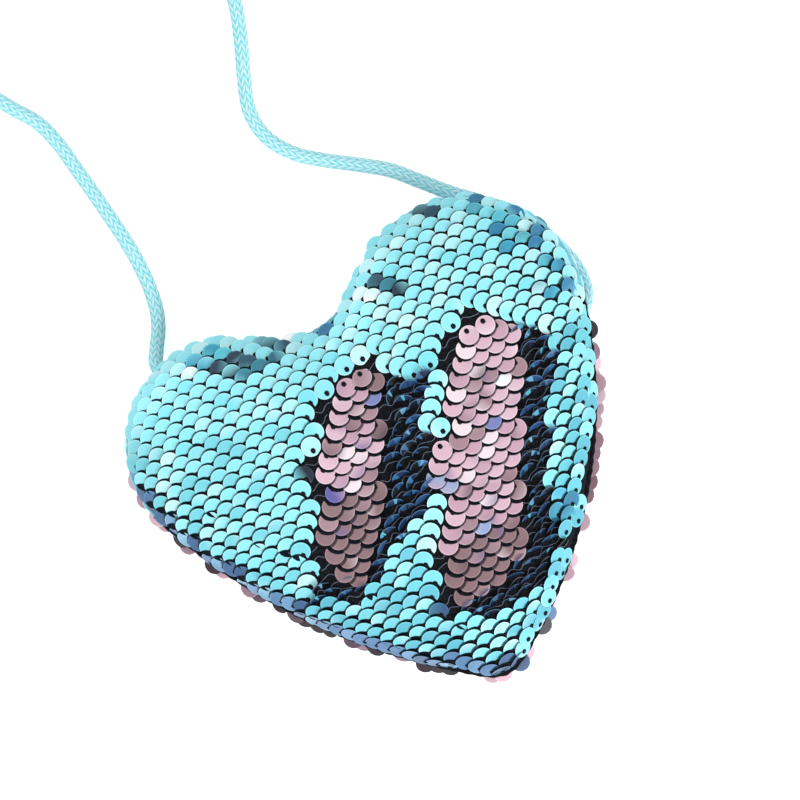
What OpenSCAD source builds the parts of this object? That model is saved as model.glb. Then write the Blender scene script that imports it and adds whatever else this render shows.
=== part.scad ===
// Heart shaped purse: a puffed pouch of sequinned knit lying on its back.
// +Z comes out of the sequinned front, the lobes point to +Y and the tip to -Y.
// A zip runs round the right lobe, under a satin lap, and opens the mouth there.

/* [Heart outline] */
// Radius of the right lobe
right_lobe_r = 28.5; // [26:0.5:31]
// Radius of the left lobe
left_lobe_r = 26; // [24:0.5:28]
// How far the right lobe's centre is to the right of the tip
right_lobe_x = 32; // [30:0.5:36]
// How far the left lobe's centre is to the left of the tip
left_lobe_x = 34.8; // [33:0.2:37]
// Height of the right lobe's centre over the base line
right_lobe_y = 27.5; // [24:0.5:31]
// Height of the left lobe's centre over the base line
left_lobe_y = 24.8; // [22:0.2:27]
// How far the centre of the rounded tip is below the base line
tip_y = 47; // [42:0.5:52]
// Radius of the rounded tip
tip_r = 9; // [6:0.5:12]
// Radius of the full, curved right side
right_side_r = 119; // [105:1:160]
// Radius of the flatter left side
left_side_r = 155; // [130:5:200]
// Radius of the hollow between the lobes
notch_r = 24; // [21:0.5:28]

/* [Thickness] */
// Height of the underside of the seam band
back_rim_z = 9.3; // [8.8:0.1:10.5]
// Width of the satin band in the seam
band_w = 2.4; // [2:0.1:3]
// How far the front puffs up over the seam band
front_puff = 12.3; // [10:0.1:14]
// How far the back puffs down under the seam band, before it lies flat
back_puff = 9.8; // [9.6:0.1:10.8]
// Thickness of the layer of overlapping sequins
sequin_t = 0.8; // [0.7:0.05:0.9]
// Thickness of the knit that the sequins are sewn to
knit_t = 0.5; // [0.4:0.05:0.6]
// Thickness of the wadding
wadding_t = 1.8; // [1.2:0.1:2.2]
// Thickness of the lining
lining_t = 0.8; // [0.5:0.1:1]
// How far the seam band stands out from the rim
band_proud = 0.6; // [0.3:0.1:1]

/* [Brushed strips] */
// Half the width of the left strip of sequins that lie pink side up
left_strip_half = 8; // [6:0.5:9]
// Half the width of the right strip of sequins that lie pink side up
right_strip_half = 10.5; // [8:0.5:12]
// Width of the bare knit along the left and top of each strip
bare_w = 2.4; // [1.5:0.1:3]
// Width of the bare knit along the right of each strip
parted_w = 6.5; // [4:0.5:8]

/* [Zip] */
// Radius of the zip, measured from the right lobe's centre to the tape
zip_r = 24; // [23.5:0.1:24.6]
// Height of the middle of the teeth
zip_z = 8.2; // [8:0.1:8.4]
// Thickness of the zip tape
tape_t = 0.5; // [0.4:0.05:0.6]
// Distance from tooth to tooth along one row
tooth_pitch = 2; // [1.8:0.1:2.4]
// Width of one tooth along the row
tooth_w = 0.9; // [0.7:0.05:0.95]
// Length of one tooth across the row
tooth_l = 3; // [2.6:0.1:3.2]
// Thickness of one tooth through the tape
tooth_t = 1.6; // [1.4:0.1:1.8]
// How far the heads of the two rows reach past each other
tooth_lock = 1.2; // [0.8:0.1:1.4]
// Length of the slider
slider_l = 7.6; // [7:0.1:8.4]
// Thickness of the slider's two plates
slider_wall = 0.9; // [0.7:0.05:1]
// Length of the pull from its pin to its tip
pull_l = 8.5; // [7:0.1:9]
// Width of the pull
pull_w = 3.4; // [3:0.1:3.8]
// Thickness of the pull
pull_t = 0.8; // [0.6:0.05:0.9]
// Diameter of the pull's pin
pin_d = 0.9; // [0.8:0.05:1]
// Thickness of the satin lap and the satin floor of the zip
satin_t = 0.8; // [0.6:0.05:1]
// Running clearance of the slider and the pull
slide_gap = 0.3; // [0.25:0.05:0.35]

/* [Strap] */
// Diameter of the round cord
cord_d = 3.6; // [3.2:0.1:3.8]
// Clear gap between the turns of the coil that is put away
coil_gap = 0.5; // [0.45:0.05:0.7]
// Turns in each of the two layers of the coil
coil_turns = 3.25; // [2.25:1:3.25]

/* [Hidden] */
$fn = 64;

sequin_colour = "#7fe8f2";
knit_colour = "#1a1a1f";
satin_colour = "#a9e2ee";
wadding_colour = "#f2f2ee";
lining_colour = "#bfe9f0";
tape_colour = "#9bdbe8";
teeth_colour = "#7fd0e0";
metal_colour = "#c9ccd0";
cord_colour = "#8fe3ec";

// Layers of cloth lie this far apart
layer_gap = 0.1;

// Middle of the heart, which every ring of the puffed faces shrinks to
middle_y = 2;
middle = [0, middle_y];
right_lobe = [right_lobe_x, right_lobe_y];
left_lobe = [-left_lobe_x, left_lobe_y];
tip = [0, -tip_y];

// Where two circles meet: side 1 is to the left of the line from a to b, -1 to its right
function meeting(a, ra, b, rb, side) =
    let (d = norm(b - a), u = (b - a) / d,
        along = (ra * ra - rb * rb + d * d) / (2 * d),
        off = sqrt(ra * ra - along * along))
    a + u * along + side * off * [-u[1], u[0]];
function bearing(from, to) = atan2(to[1] - from[1], to[0] - from[0]);
function arc(c, r, a0, a1, steps) =
    [for (i = [0 : steps - 1]) let (a = a0 + (a1 - a0) * i / steps) c + r * [cos(a), sin(a)]];
function whole_turn(a) = a < 0 ? a + 360 : a;

// Six arcs, each tangent to the next: lobe, notch, lobe, side, tip, side
notch = meeting(left_lobe, left_lobe_r + notch_r, right_lobe, right_lobe_r + notch_r, 1);
right_side = meeting(right_lobe, right_side_r - right_lobe_r, tip, right_side_r - tip_r, -1);
left_side = meeting(left_lobe, left_side_r - left_lobe_r, tip, left_side_r - tip_r, 1);
lobe_steps = 18;
notch_steps = 6;
side_steps = 7;
tip_steps = 6;
outline = concat(
    arc(right_lobe, right_lobe_r, bearing(right_side, right_lobe), bearing(right_lobe, notch),
        lobe_steps),
    arc(notch, notch_r, whole_turn(bearing(notch, right_lobe)),
        whole_turn(bearing(notch, left_lobe)), notch_steps),
    arc(left_lobe, left_lobe_r, bearing(left_lobe, notch),
        whole_turn(bearing(left_side, left_lobe)), lobe_steps),
    arc(left_side, left_side_r, whole_turn(bearing(left_side, left_lobe)),
        whole_turn(bearing(left_side, tip)), side_steps),
    arc(tip, tip_r, whole_turn(bearing(left_side, tip)), whole_turn(bearing(right_side, tip)),
        tip_steps),
    arc(right_side, right_side_r, bearing(right_side, tip), bearing(right_side, right_lobe),
        side_steps));
half_width = (right_lobe_x + right_lobe_r + left_lobe_x + left_lobe_r) / 2;
function inset_share(t) = 1 - t / half_width;

front_rim_z = back_rim_z + band_w;
// Both faces are superellipses from rim to middle: the back is the boxier one
front_power = 2.3;
back_power = 3.5;
skin_ring_shares = [1, 0.988, 0.95, 0.88, 0.77, 0.62, 0.4];
// Some of the skin's shares, so that no inner layer's corner pokes through a flat of the skin
inner_ring_shares = [1, 0.988, 0.95, 0.77, 0.4];
knit_out = sequin_t + layer_gap;
knit_in = knit_out + knit_t;
wadding_out = knit_in + layer_gap;
wadding_in = wadding_out + wadding_t;
lining_out = wadding_in + layer_gap;
lining_in = lining_out + lining_t;

// The zip's arc, in degrees about the right lobe's centre
zip_start = -16;
zip_end = 141;
groove_start = -18;
groove_end = 149;
function along_zip(l) = l / zip_r * 180 / PI;
slider_angle = along_zip(slider_l);
stop_l = 0.8;
stop_angle = along_zip(stop_l);
slider_rest = zip_start + stop_angle + along_zip(slide_gap) + slider_angle / 2;
pitch_angle = along_zip(tooth_pitch);
post_l = 1.9;
post_w = 1.6;
first_tooth = slider_rest - slider_angle / 2 + along_zip(post_l + 3 * slide_gap + tooth_w / 2);
back_teeth = floor((zip_end - 2 * stop_angle - first_tooth) / pitch_angle) + 1;
front_teeth = back_teeth - 1;

// Heights in the groove of the zip
slider_half = tooth_l - tooth_lock / 2 + slider_wall;
floor_top = zip_z - slider_half - slide_gap;
floor_bottom = floor_top - satin_t;
lap_bottom = zip_z + slider_half + slide_gap;
lap_top = lap_bottom + satin_t;
tape_edge = tooth_lock / 2 + slide_gap;
// Radii in the groove
wing_gap = 0.25;
wing_out_r = zip_r + tooth_t / 2 + wing_gap;
wing_in_r = zip_r - tooth_t / 2 - wing_gap;
slider_out_r = wing_out_r + slider_wall;
slider_in_r = wing_in_r - slider_wall;
facing_r = slider_in_r - slide_gap;
groove_r = facing_r - layer_gap;
floor_reach = 1.6;
lap_reach = band_proud + 0.1;
pin_r = slider_out_r + wing_gap / 2 + pin_d / 2;

// The mouth's flap folds up along a straight line across the right lobe
fold_bearing = 84;
fold_off = 13;
fold_z = 22.5;
fold_gap = 0.3;
fold_reach = right_lobe_x - notch[0];
big = 2 * half_width;

// A puffed shell, rim down at z 0, between an outer and an inner crown
function crown(k, power) = pow(1 - pow(k, power), 1 / power);
function crown_ring(reach, k, z) =
    [for (p = outline) let (q = middle + (p - middle) * reach * k) [q[0], q[1], z]];
module puffed_shell(out, in, puff, power, shares) {
    n = len(outline);
    m = len(shares);
    reach_o = inset_share(out);
    reach_i = inset_share(in);
    points = concat(
        [for (k = shares) each crown_ring(reach_o, k, (puff - out) * crown(k, power))],
        [[middle[0], middle[1], puff - out]],
        [for (k = shares) each crown_ring(reach_i, k, (puff - in) * crown(k, power))],
        [[middle[0], middle[1], puff - in]]);
    inner = n * m + 1;
    function at(start, i, j) = start + i * n + j % n;
    faces = concat(
        [for (i = [0 : m - 2], j = [0 : n - 1]) each [
            [at(0, i, j), at(0, i + 1, j + 1), at(0, i, j + 1)],
            [at(0, i, j), at(0, i + 1, j), at(0, i + 1, j + 1)],
            [at(inner, i, j), at(inner, i, j + 1), at(inner, i + 1, j + 1)],
            [at(inner, i, j), at(inner, i + 1, j + 1), at(inner, i + 1, j)]]],
        [for (j = [0 : n - 1]) each [
            [at(0, m - 1, j), n * m, at(0, m - 1, j + 1)],
            [at(inner, m - 1, j), at(inner, m - 1, j + 1), inner + n * m],
            [at(0, 0, j), at(0, 0, j + 1), at(inner, 0, j + 1)],
            [at(0, 0, j), at(inner, 0, j + 1), at(inner, 0, j)]]]);
    polyhedron(points, faces);
}

// The brushed strips run down the picture, which the heart lies across at this angle
strip_lean = -27.24;
strip_fn = 24;
left_strip = [[0.8, 20.5], [-21.3, -14]];
right_strip = [[32, 17.6], [1.4, -28.4]];
module strip(ends, half) {
    for (i = [0 : len(ends) - 2])
        hull() {
            translate(ends[i])
                circle(half, $fn = strip_fn);
            translate(ends[i + 1])
                circle(half, $fn = strip_fn);
        }
}
module pink_strips() {
    strip(left_strip, left_strip_half);
    strip(right_strip, right_strip_half);
}
module bare_strips() {
    parted = parted_w * [cos(strip_lean), sin(strip_lean)];
    for (way = [[left_strip, left_strip_half], [right_strip, right_strip_half]])
        hull() {
            strip(way[0], way[1] + bare_w);
            translate(parted)
                strip(way[0], way[1]);
        }
}

// The right lobe beyond the fold line, as far as the notch
module fold_zone(margin) {
    translate([right_lobe_x, right_lobe_y, 0])
        rotate(fold_bearing)
            translate([fold_off + margin, -big, -big])
                cube([big, big + fold_reach, 2 * big]);
}
// What stays with the purse, and what folds up with the flap
module purse_side() {
    difference() {
        children();
        fold_zone(-fold_gap / 2);
    }
}
module flap_side() {
    intersection() {
        children();
        fold_zone(fold_gap / 2);
    }
}

module about_lobe(start, angle) {
    translate([right_lobe_x, right_lobe_y, 0])
        rotate(start)
            rotate_extrude(angle = angle)
                children();
}

module zip_groove() {
    about_lobe(groove_start, groove_end - groove_start)
        translate([groove_r, floor_bottom])
            square([big, lap_top - floor_bottom]);
}

module front_layer(out, in, shares) {
    difference() {
        translate([0, 0, front_rim_z])
            puffed_shell(out, in, front_puff, front_power, shares);
        zip_groove();
    }
}

module back_layer(out, in, shares) {
    difference() {
        translate([0, 0, back_rim_z])
            mirror([0, 0, 1])
                puffed_shell(out, in, back_puff, back_power, shares);
        zip_groove();
        translate([-big, -big, -2 * big])
            cube(2 * big);
    }
}

// Overlapping sequins: the turquoise field, and the strips that stand free in bare knit
module sequin_field() {
    difference() {
        front_layer(0, sequin_t, skin_ring_shares);
        linear_extrude(big)
            difference() {
                bare_strips();
                pink_strips();
            }
    }
}

module front_sequins() {
    color(sequin_colour)
        purse_side()
            sequin_field();
}

module flap_sequins() {
    color(sequin_colour)
        flap_side()
            sequin_field();
}

// The room that sequins and wadding leave for the ends of the strap, which go into the knit
strap_hole = cord_d + 3;
module strap_room() {
    for (end = [left_route[0], right_route[len(right_route) - 1]])
        translate(end)
            cube(strap_hole, center = true);
}

// The back's outermost sequins stand out past the seam, from the left lobe round the tip to
// the right side: angles about the middle
fringe_start = 162;
fringe_end = 356;
fringe_step = 97;
fringe_proud = 2.2;
fringe_low = 7;
fringe_t = 0.6;
module back_fringe() {
    translate([0, 0, fringe_low])
        linear_extrude(fringe_t)
            intersection() {
                difference() {
                    heart(inset_share(-fringe_proud));
                    heart(inset_share(sequin_t / 2));
                }
                translate(middle)
                    polygon(concat([[0, 0]],
                        [for (a = [fringe_start : fringe_step : fringe_end])
                            2 * big * [cos(a), sin(a)]]));
            }
}

module back_sequins() {
    color(sequin_colour)
        difference() {
            union() {
                back_layer(0, sequin_t, skin_ring_shares);
                back_fringe();
            }
            strap_room();
        }
}

module front_panel() {
    color(knit_colour)
        purse_side()
            front_layer(knit_out, knit_in, inner_ring_shares);
}

module front_padding() {
    color(wadding_colour)
        purse_side()
            front_layer(wadding_out, wadding_in, inner_ring_shares);
}

module front_lining() {
    color(lining_colour)
        purse_side()
            front_layer(lining_out, lining_in, inner_ring_shares);
}

module flap_panel() {
    color(knit_colour)
        flap_side()
            front_layer(knit_out, knit_in, inner_ring_shares);
}

module flap_padding() {
    color(wadding_colour)
        flap_side()
            front_layer(wadding_out, wadding_in, inner_ring_shares);
}

module flap_lining() {
    color(lining_colour)
        flap_side()
            front_layer(lining_out, lining_in, inner_ring_shares);
}

module back_panel() {
    color(knit_colour)
        back_layer(knit_out, knit_in, inner_ring_shares);
}

module back_padding() {
    color(wadding_colour)
        difference() {
            back_layer(wadding_out, wadding_in, inner_ring_shares);
            strap_room();
        }
}

module back_lining() {
    color(lining_colour)
        back_layer(lining_out, lining_in, inner_ring_shares);
}

module heart(share) {
    polygon([for (p = outline) middle + (p - middle) * share]);
}

module seam_band() {
    color(satin_colour)
        difference() {
            translate([0, 0, back_rim_z])
                linear_extrude(band_w)
                    difference() {
                        heart(inset_share(-band_proud));
                        heart(inset_share(wadding_in));
                    }
            zip_groove();
        }
}

// Satin that roofs the groove and hides the zip from the front
module lap_ring() {
    about_lobe(groove_start, groove_end - groove_start)
        translate([facing_r, lap_bottom])
            square([right_lobe_r + lap_reach - facing_r, satin_t]);
}

module zip_lap() {
    color(satin_colour)
        flap_side()
            lap_ring();
}

module zip_lap_ends() {
    color(satin_colour)
        purse_side()
            lap_ring();
}

module zip_floor() {
    color(satin_colour)
        about_lobe(groove_start, groove_end - groove_start)
            translate([facing_r, floor_bottom])
                square([zip_r + floor_reach - facing_r, satin_t]);
}

module tape_strip(low, high) {
    color(tape_colour)
        about_lobe(zip_start, zip_end - zip_start)
            translate([zip_r - tape_t / 2, low])
                square([tape_t, high - low]);
}

module zip_back_tape() {
    tape_strip(floor_top, zip_z - tape_edge);
}

module zip_front_tape() {
    flap_side()
        tape_strip(zip_z + tape_edge, lap_bottom);
}

module zip_front_tape_ends() {
    purse_side()
        tape_strip(zip_z + tape_edge, lap_bottom);
}

// One moulded tooth, head down, with a slot that straddles the edge of the tape
neck_share = 0.62;
head_share = 0.36;
module tooth(bearing_angle, up) {
    waist = tooth_w * neck_share;
    head = tooth_l * head_share;
    shoulder = tooth_lock + slide_gap;
    translate([right_lobe_x, right_lobe_y, zip_z])
        rotate(bearing_angle)
            mirror([0, 0, up ? 0 : 1])
                difference() {
                    translate([zip_r - tooth_t / 2, 0, -tooth_lock / 2])
                        rotate([90, 0, 90])
                            linear_extrude(tooth_t)
                                polygon([[-waist / 2, 0], [waist / 2, 0],
                                    [tooth_w / 2, head / 2], [waist / 2, head],
                                    [tooth_w / 2, shoulder], [tooth_w / 2, tooth_l],
                                    [-tooth_w / 2, tooth_l], [-tooth_w / 2, shoulder],
                                    [-waist / 2, head], [-tooth_w / 2, head / 2]]);
                    translate([zip_r - tape_t / 2, -tooth_w, tape_edge])
                        cube([tape_t, 2 * tooth_w, tooth_l]);
                }
}

function back_tooth(i) = first_tooth + i * pitch_angle;
function front_tooth(i) = first_tooth + (i + 0.5) * pitch_angle;
fold_start = fold_bearing - acos(fold_off / zip_r);
fixed_teeth = floor((fold_start - front_tooth(0)) / pitch_angle) + 1;

module zip_back_teeth() {
    color(teeth_colour)
        for (i = [0 : back_teeth - 1])
            tooth(back_tooth(i), false);
}

module zip_front_teeth() {
    color(teeth_colour)
        for (i = [fixed_teeth : front_teeth - 1])
            tooth(front_tooth(i), true);
}

module zip_front_teeth_ends() {
    color(teeth_colour)
        for (i = [0 : fixed_teeth - 1])
            tooth(front_tooth(i), true);
}

// A block that grips the tape, from low to high, cut out where the tape runs
module stop_block(start, low, high) {
    difference() {
        about_lobe(start, stop_angle)
            translate([zip_r - tooth_t / 2, low])
                square([tooth_t, high - low]);
        about_lobe(start - stop_angle, 3 * stop_angle)
            for (side = [-1, 1])
                translate([zip_r - tape_t / 2, zip_z + side * (tape_edge + big / 2) - big / 2])
                    square([tape_t, big]);
    }
}

module zip_top_stops() {
    color(metal_colour)
        for (side = [-1, 1])
            let (near = zip_z + side * tape_edge / 2, far = zip_z + side * (tooth_l - tooth_lock / 2))
                stop_block(zip_start, min(near, far), max(near, far));
}

module zip_bottom_stop() {
    color(metal_colour)
        stop_block(zip_end - stop_angle, zip_z - tooth_l + tooth_lock / 2,
            zip_z + tooth_l - tooth_lock / 2);
}

// Shield outline of the slider's plates: wide where the rows part, narrow behind
nose_share = 0.3;
tail_in = 0.35;
corner_r = 0.8;
rim_w = 0.7;
// The lug on the outer plate that the pull's pin goes through
lug_w = 1;
lug_r = 1.35;
lug_foot = 3.8;
module shield() {
    hull() {
        for (side = [-1, 1]) {
            translate([-slider_l / 2 + corner_r, side * (slider_half - corner_r)])
                circle(corner_r, $fn = 24);
            translate([-slider_l / 2 + slider_l * nose_share, side * (slider_half - corner_r)])
                circle(corner_r, $fn = 24);
            translate([slider_l / 2 - corner_r, side * (slider_half - corner_r - tail_in)])
                circle(corner_r, $fn = 24);
        }
    }
}

module slider_ring(r0, r1, z0, z1) {
    about_lobe(slider_rest - slider_angle / 2 - 2, slider_angle + 4)
        translate([r0, z0])
            square([r1 - r0, z1 - z0]);
}

module zip_slider() {
    post_mid = slider_rest - slider_angle / 2 + along_zip(post_l / 2 + slide_gap);
    color(metal_colour) {
        intersection() {
            union() {
                slider_ring(wing_out_r, slider_out_r, zip_z - slider_half, zip_z + slider_half);
                slider_ring(slider_in_r, wing_in_r, zip_z - slider_half, zip_z + slider_half);
                for (side = [-1, 1]) {
                    rim_low = side < 0 ? zip_z - slider_half : zip_z + slider_half - rim_w;
                    slider_ring(zip_r + tape_t / 2 + wing_gap, slider_out_r, rim_low,
                        rim_low + rim_w);
                    slider_ring(slider_in_r, zip_r - tape_t / 2 - wing_gap, rim_low,
                        rim_low + rim_w);
                }
            }
            translate([right_lobe_x, right_lobe_y, zip_z])
                rotate(slider_rest)
                    rotate([90, 0, 90])
                        linear_extrude(big)
                            shield();
        }
        translate([right_lobe_x, right_lobe_y, zip_z])
            rotate(post_mid)
                translate([(slider_in_r + slider_out_r) / 2, 0, 0])
                    cube([slider_out_r - slider_in_r - slider_wall, post_l, post_w], center = true);
        difference() {
            translate([right_lobe_x, right_lobe_y, zip_z - lug_w / 2])
                rotate(slider_rest)
                    linear_extrude(lug_w)
                        hull() {
                            translate([pin_r, 0])
                                circle(lug_r);
                            translate([slider_out_r - slider_wall / 2, -lug_foot / 2])
                                square([slider_wall / 4, lug_foot]);
                        }
            pin_bore();
        }
    }
}
module at_pin() {
    translate([right_lobe_x, right_lobe_y, 0])
        rotate(slider_rest)
            translate([pin_r, 0, zip_z])
                children();
}

module pin_bore() {
    at_pin()
        cylinder(d = pin_d + wing_gap, h = big, center = true);
}

// The pull lies back along the zip, tipped in by a few degrees, and swings on its pin
pull_lean = 4;
pull_eye_l = 2.6;
pull_hole_d = 1.3;
module zip_pull() {
    color(metal_colour)
        at_pin() {
            cylinder(d = pin_d, h = pull_w, center = true);
            rotate(90 + pull_lean)
                translate([0, pull_t / 2, 0])
                    rotate([90, 0, 0])
                        linear_extrude(pull_t)
                            difference() {
                                hull() {
                                    translate([-pin_d / 2, -pull_w / 2])
                                        square([pin_d, pull_w]);
                                    translate([pull_l - pull_w / 2, 0])
                                        circle(pull_w / 2);
                                }
                                translate([-pin_d, -lug_w / 2 - slide_gap])
                                    square([pin_d + pull_eye_l - pin_d / 2, lug_w + 2 * slide_gap]);
                                translate([pull_l - pull_w / 2, 0])
                                    circle(d = pull_hole_d);
                            }
        }
}

// Centre line of the cord on the floor, from the left seam to the coil
left_route = [
    [-42.1, 47.8, 7.2], [-43.0, 51.6, 6.0], [-41.3, 55.3, 3.6], [-38.8, 59.5, 2.1],
    [-37.0, 64.0, 1.8], [-35.9, 70.0, 1.8], [-35.6, 77.0, 1.8], [-36.0, 84.0, 1.8],
    [-36.8, 91.0, 1.8], [-37.7, 98.0, 1.8], [-38.7, 105.0, 1.8], [-39.7, 112.0, 1.8],
    [-42.0, 119.5, 1.8], [-46.3, 126.0, 1.8], [-50.0, 133.0, 1.8], [-52.0, 141.5, 1.8],
    [-52.4, 151.0, 1.8], [-52.0, 160.5, 1.8], [-51.5, 169.5, 1.8]];
// From the coil to the seam in the right side, under the rim of the right lobe
right_route = [
    [1.5, 169.5, 5.9], [3.6, 161.0, 4.4], [7.6, 153.0, 2.6], [11.8, 145.5, 1.8],
    [15.2, 138.0, 1.8], [16.8, 130.0, 1.8], [15.4, 122.0, 1.8], [12.4, 113.5, 1.8],
    [8.9, 105.0, 1.8], [6.6, 97.5, 1.8], [7.4, 90.0, 1.8], [11.6, 83.3, 1.8],
    [18.0, 78.0, 1.8], [24.8, 73.3, 1.8], [31.2, 68.5, 1.8], [36.8, 62.4, 1.8],
    [42.0, 56.6, 1.8], [47.2, 51.6, 1.8], [52.2, 45.8, 1.8], [56.8, 39.6, 1.8],
    [59.8, 33.0, 1.8], [61.6, 26.4, 1.9], [61.4, 20.6, 3.2], [59.4, 16.6, 5.6],
    [56.3, 14.7, 7.0]];
coil_centre = [-25, 181];
coil_steps = 24;
coil_sides = 6;
cord_sides = 8;

function unit(v) = v / norm(v);
// Direction of the cord at point i of its path, along the chord of its neighbours
function heading(path, i) =
    unit(path[min(i + 1, len(path) - 1)] - path[max(i - 1, 0)]);
function cord_ring(c, dir, sides) =
    let (across = unit(cross([0, 0, 1], dir)), up = cross(dir, across))
    [for (j = [0 : sides - 1]) let (a = 360 * (j + 0.5) / sides)
        c + cord_d / 2 * (cos(a) * across + sin(a) * up)];
module cord(path, first, last, sides) {
    n = len(path);
    points = [for (i = [0 : n - 1])
        each cord_ring(path[i], i == 0 ? first : i == n - 1 ? last : heading(path, i), sides)];
    faces = concat(
        [for (j = [1 : sides - 2]) [0, j + 1, j]],
        [for (i = [0 : n - 2], j = [0 : sides - 1])
            let (a = i * sides + j, b = i * sides + (j + 1) % sides)
            each [[a, b, b + sides], [a, b + sides, a + sides]]],
        [for (j = [1 : sides - 2]) [(n - 1) * sides, (n - 1) * sides + j, (n - 1) * sides + j + 1]]);
    polyhedron(points, [for (f = faces) [f[0], f[2], f[1]]]);
}

// The coil: in along the floor, up one layer in the half turn at the middle, and out again
coil_pitch = cord_d + coil_gap;
coil_out_r = 26.5;
coil_climb = cord_d + coil_gap;
function coil_r(t) = coil_out_r - coil_pitch * (coil_turns - abs(t - coil_turns));
function coil_z(t) =
    cord_d / 2 + coil_climb * min(1, max(0, 0.5 + (t - coil_turns) * 2));
function coil_point(t) =
    let (a = 180 - 360 * t)
    [coil_centre[0] + coil_r(t) * cos(a), coil_centre[1] + coil_r(t) * sin(a), coil_z(t)];
coil_path = concat(
    [left_route[len(left_route) - 1]],
    [for (i = [0 : round(2 * coil_turns * coil_steps)]) coil_point(i / coil_steps)],
    [right_route[0]]);
coil_least = min([for (i = [0 : len(coil_path) - 1], j = [i + coil_steps / 2 : 1 : len(coil_path) - 1])
    norm(coil_path[i] - coil_path[j])]) - cord_d;
echo(coil_least_gap = coil_least);

module strap_left() {
    color(cord_colour)
        cord(left_route, unit(left_route[1] - left_route[0]), [0, 1, 0], cord_sides);
}

module strap_coil() {
    color(cord_colour)
        cord(coil_path, [0, 1, 0], [0, -1, 0], coil_sides);
}

module strap_right() {
    n = len(right_route);
    color(cord_colour)
        cord(right_route, [0, -1, 0], unit(right_route[n - 1] - right_route[n - 2]), cord_sides);
}

front_sequins();
front_panel();
front_padding();
front_lining();
back_sequins();
back_panel();
back_padding();
back_lining();
seam_band();
flap_sequins();
flap_panel();
flap_padding();
flap_lining();
zip_lap();
zip_lap_ends();
zip_floor();
zip_back_tape();
zip_front_tape();
zip_front_tape_ends();
zip_back_teeth();
zip_front_teeth();
zip_front_teeth_ends();
zip_top_stops();
zip_bottom_stop();
zip_slider();
zip_pull();
strap_left();
strap_coil();
strap_right();
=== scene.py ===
import math
import random

import bmesh
import bpy
import numpy as np
from mathutils import Matrix, Vector
from mathutils.bvhtree import BVHTree


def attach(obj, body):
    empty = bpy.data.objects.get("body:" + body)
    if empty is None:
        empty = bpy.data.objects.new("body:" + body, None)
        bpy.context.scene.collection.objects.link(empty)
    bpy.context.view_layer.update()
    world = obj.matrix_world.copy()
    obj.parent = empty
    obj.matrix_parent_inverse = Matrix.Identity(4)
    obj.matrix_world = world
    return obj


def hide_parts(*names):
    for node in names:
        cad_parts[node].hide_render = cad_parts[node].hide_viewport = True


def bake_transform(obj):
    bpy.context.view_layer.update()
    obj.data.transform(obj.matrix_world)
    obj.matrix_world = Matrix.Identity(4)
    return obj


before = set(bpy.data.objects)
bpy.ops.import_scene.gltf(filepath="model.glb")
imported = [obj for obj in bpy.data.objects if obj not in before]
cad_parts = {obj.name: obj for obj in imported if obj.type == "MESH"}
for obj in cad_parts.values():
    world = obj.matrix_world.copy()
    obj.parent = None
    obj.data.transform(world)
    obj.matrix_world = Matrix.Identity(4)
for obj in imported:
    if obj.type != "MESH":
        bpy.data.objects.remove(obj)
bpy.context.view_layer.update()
mm = 0.001


def colour(r, g, b):
    def linear(c):
        c = c / 255
        return c / 12.92 if c <= 0.04045 else ((c + 0.055) / 1.055) ** 2.4
    return (linear(r), linear(g), linear(b), 1)


def clamp(value):
    return min(1, max(0, value))


def placed(name, data, smooth=True):
    if smooth:
        data.shade_smooth()
    obj = bpy.data.objects.new(name, data)
    bpy.context.scene.collection.objects.link(obj)
    return obj


def meshPiece(name, points, faces, smooth=True):
    data = bpy.data.meshes.new(name)
    data.from_pydata([tuple(map(float, p)) for p in points], [], [tuple(map(int, f)) for f in faces])
    data.update()
    return placed(name, data, smooth)


def bmeshPiece(name, form):
    data = bpy.data.meshes.new(name)
    form.to_mesh(data)
    form.free()
    return placed(name, data)


def tubeFaces(rings, around, start=0, closed=False):
    faces = []
    for i in range(rings if closed else rings - 1):
        for j in range(around):
            a, b, k = i * around, (i + 1) % rings * around, (j + 1) % around
            faces.append(tuple(start + v for v in (a + j, a + k, b + k, b + j)))
    return faces


def unit(v):
    return v / np.linalg.norm(v)


def inAxes(form, base, u, v, n):  # a form's points set out along three directions
    return base + form[:, :1] * u + form[:, 1:2] * v + form[:, 2:] * n


def reworked(obj, change):
    b = bmesh.new()
    b.from_mesh(obj.data)
    change(b)
    b.to_mesh(obj.data)
    b.free()


def lengthsAlong(steps):
    return np.concatenate([[0], np.cumsum(steps)])


def wire(tree, node, inputs):
    for key, value in inputs.items():
        if isinstance(value, bpy.types.NodeSocket):
            tree.links.new(value, node.inputs[key])
        else:
            node.inputs[key].default_value = value


def addNode(tree, kind, inputs=None, **settings):
    made = tree.nodes.new(kind)
    for key, value in settings.items():
        setattr(made, key, value)
    wire(tree, made, inputs or {})
    return made.outputs


def dress(obj, slot, *materials):
    obj.data.materials.clear()
    for m in materials:
        obj.data.materials.append(m)


# The heart's outline: six arcs, each tangent to the next
heart = dict(
    rightLobe=(32, 27.5), rightR=28.5, leftLobe=(-34.8, 24.8), leftR=26, tip=(0, -47), tipR=9,
    rightSideR=119, leftSideR=155, notchR=24, middle=(0, 2), halfWidth=60.65,
)


def meeting(a, ra, b, rb, side):
    a, b = np.array(a, float), np.array(b, float)
    d = np.linalg.norm(b - a)
    u = (b - a) / d
    along = (ra * ra - rb * rb + d * d) / (2 * d)
    off = math.sqrt(ra * ra - along * along)
    return a + u * along + side * off * np.array([-u[1], u[0]])


def bearing(a, b):
    return math.atan2(b[1] - a[1], b[0] - a[0])


def arcPoints(centre, r, a0, a1, steps, turn):
    while turn * (a1 - a0) < 0:
        a1 += turn * 2 * math.pi
    a = np.linspace(a0, a1, steps, endpoint=False)
    return np.stack([centre[0] + r * np.cos(a), centre[1] + r * np.sin(a)], 1)


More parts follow.
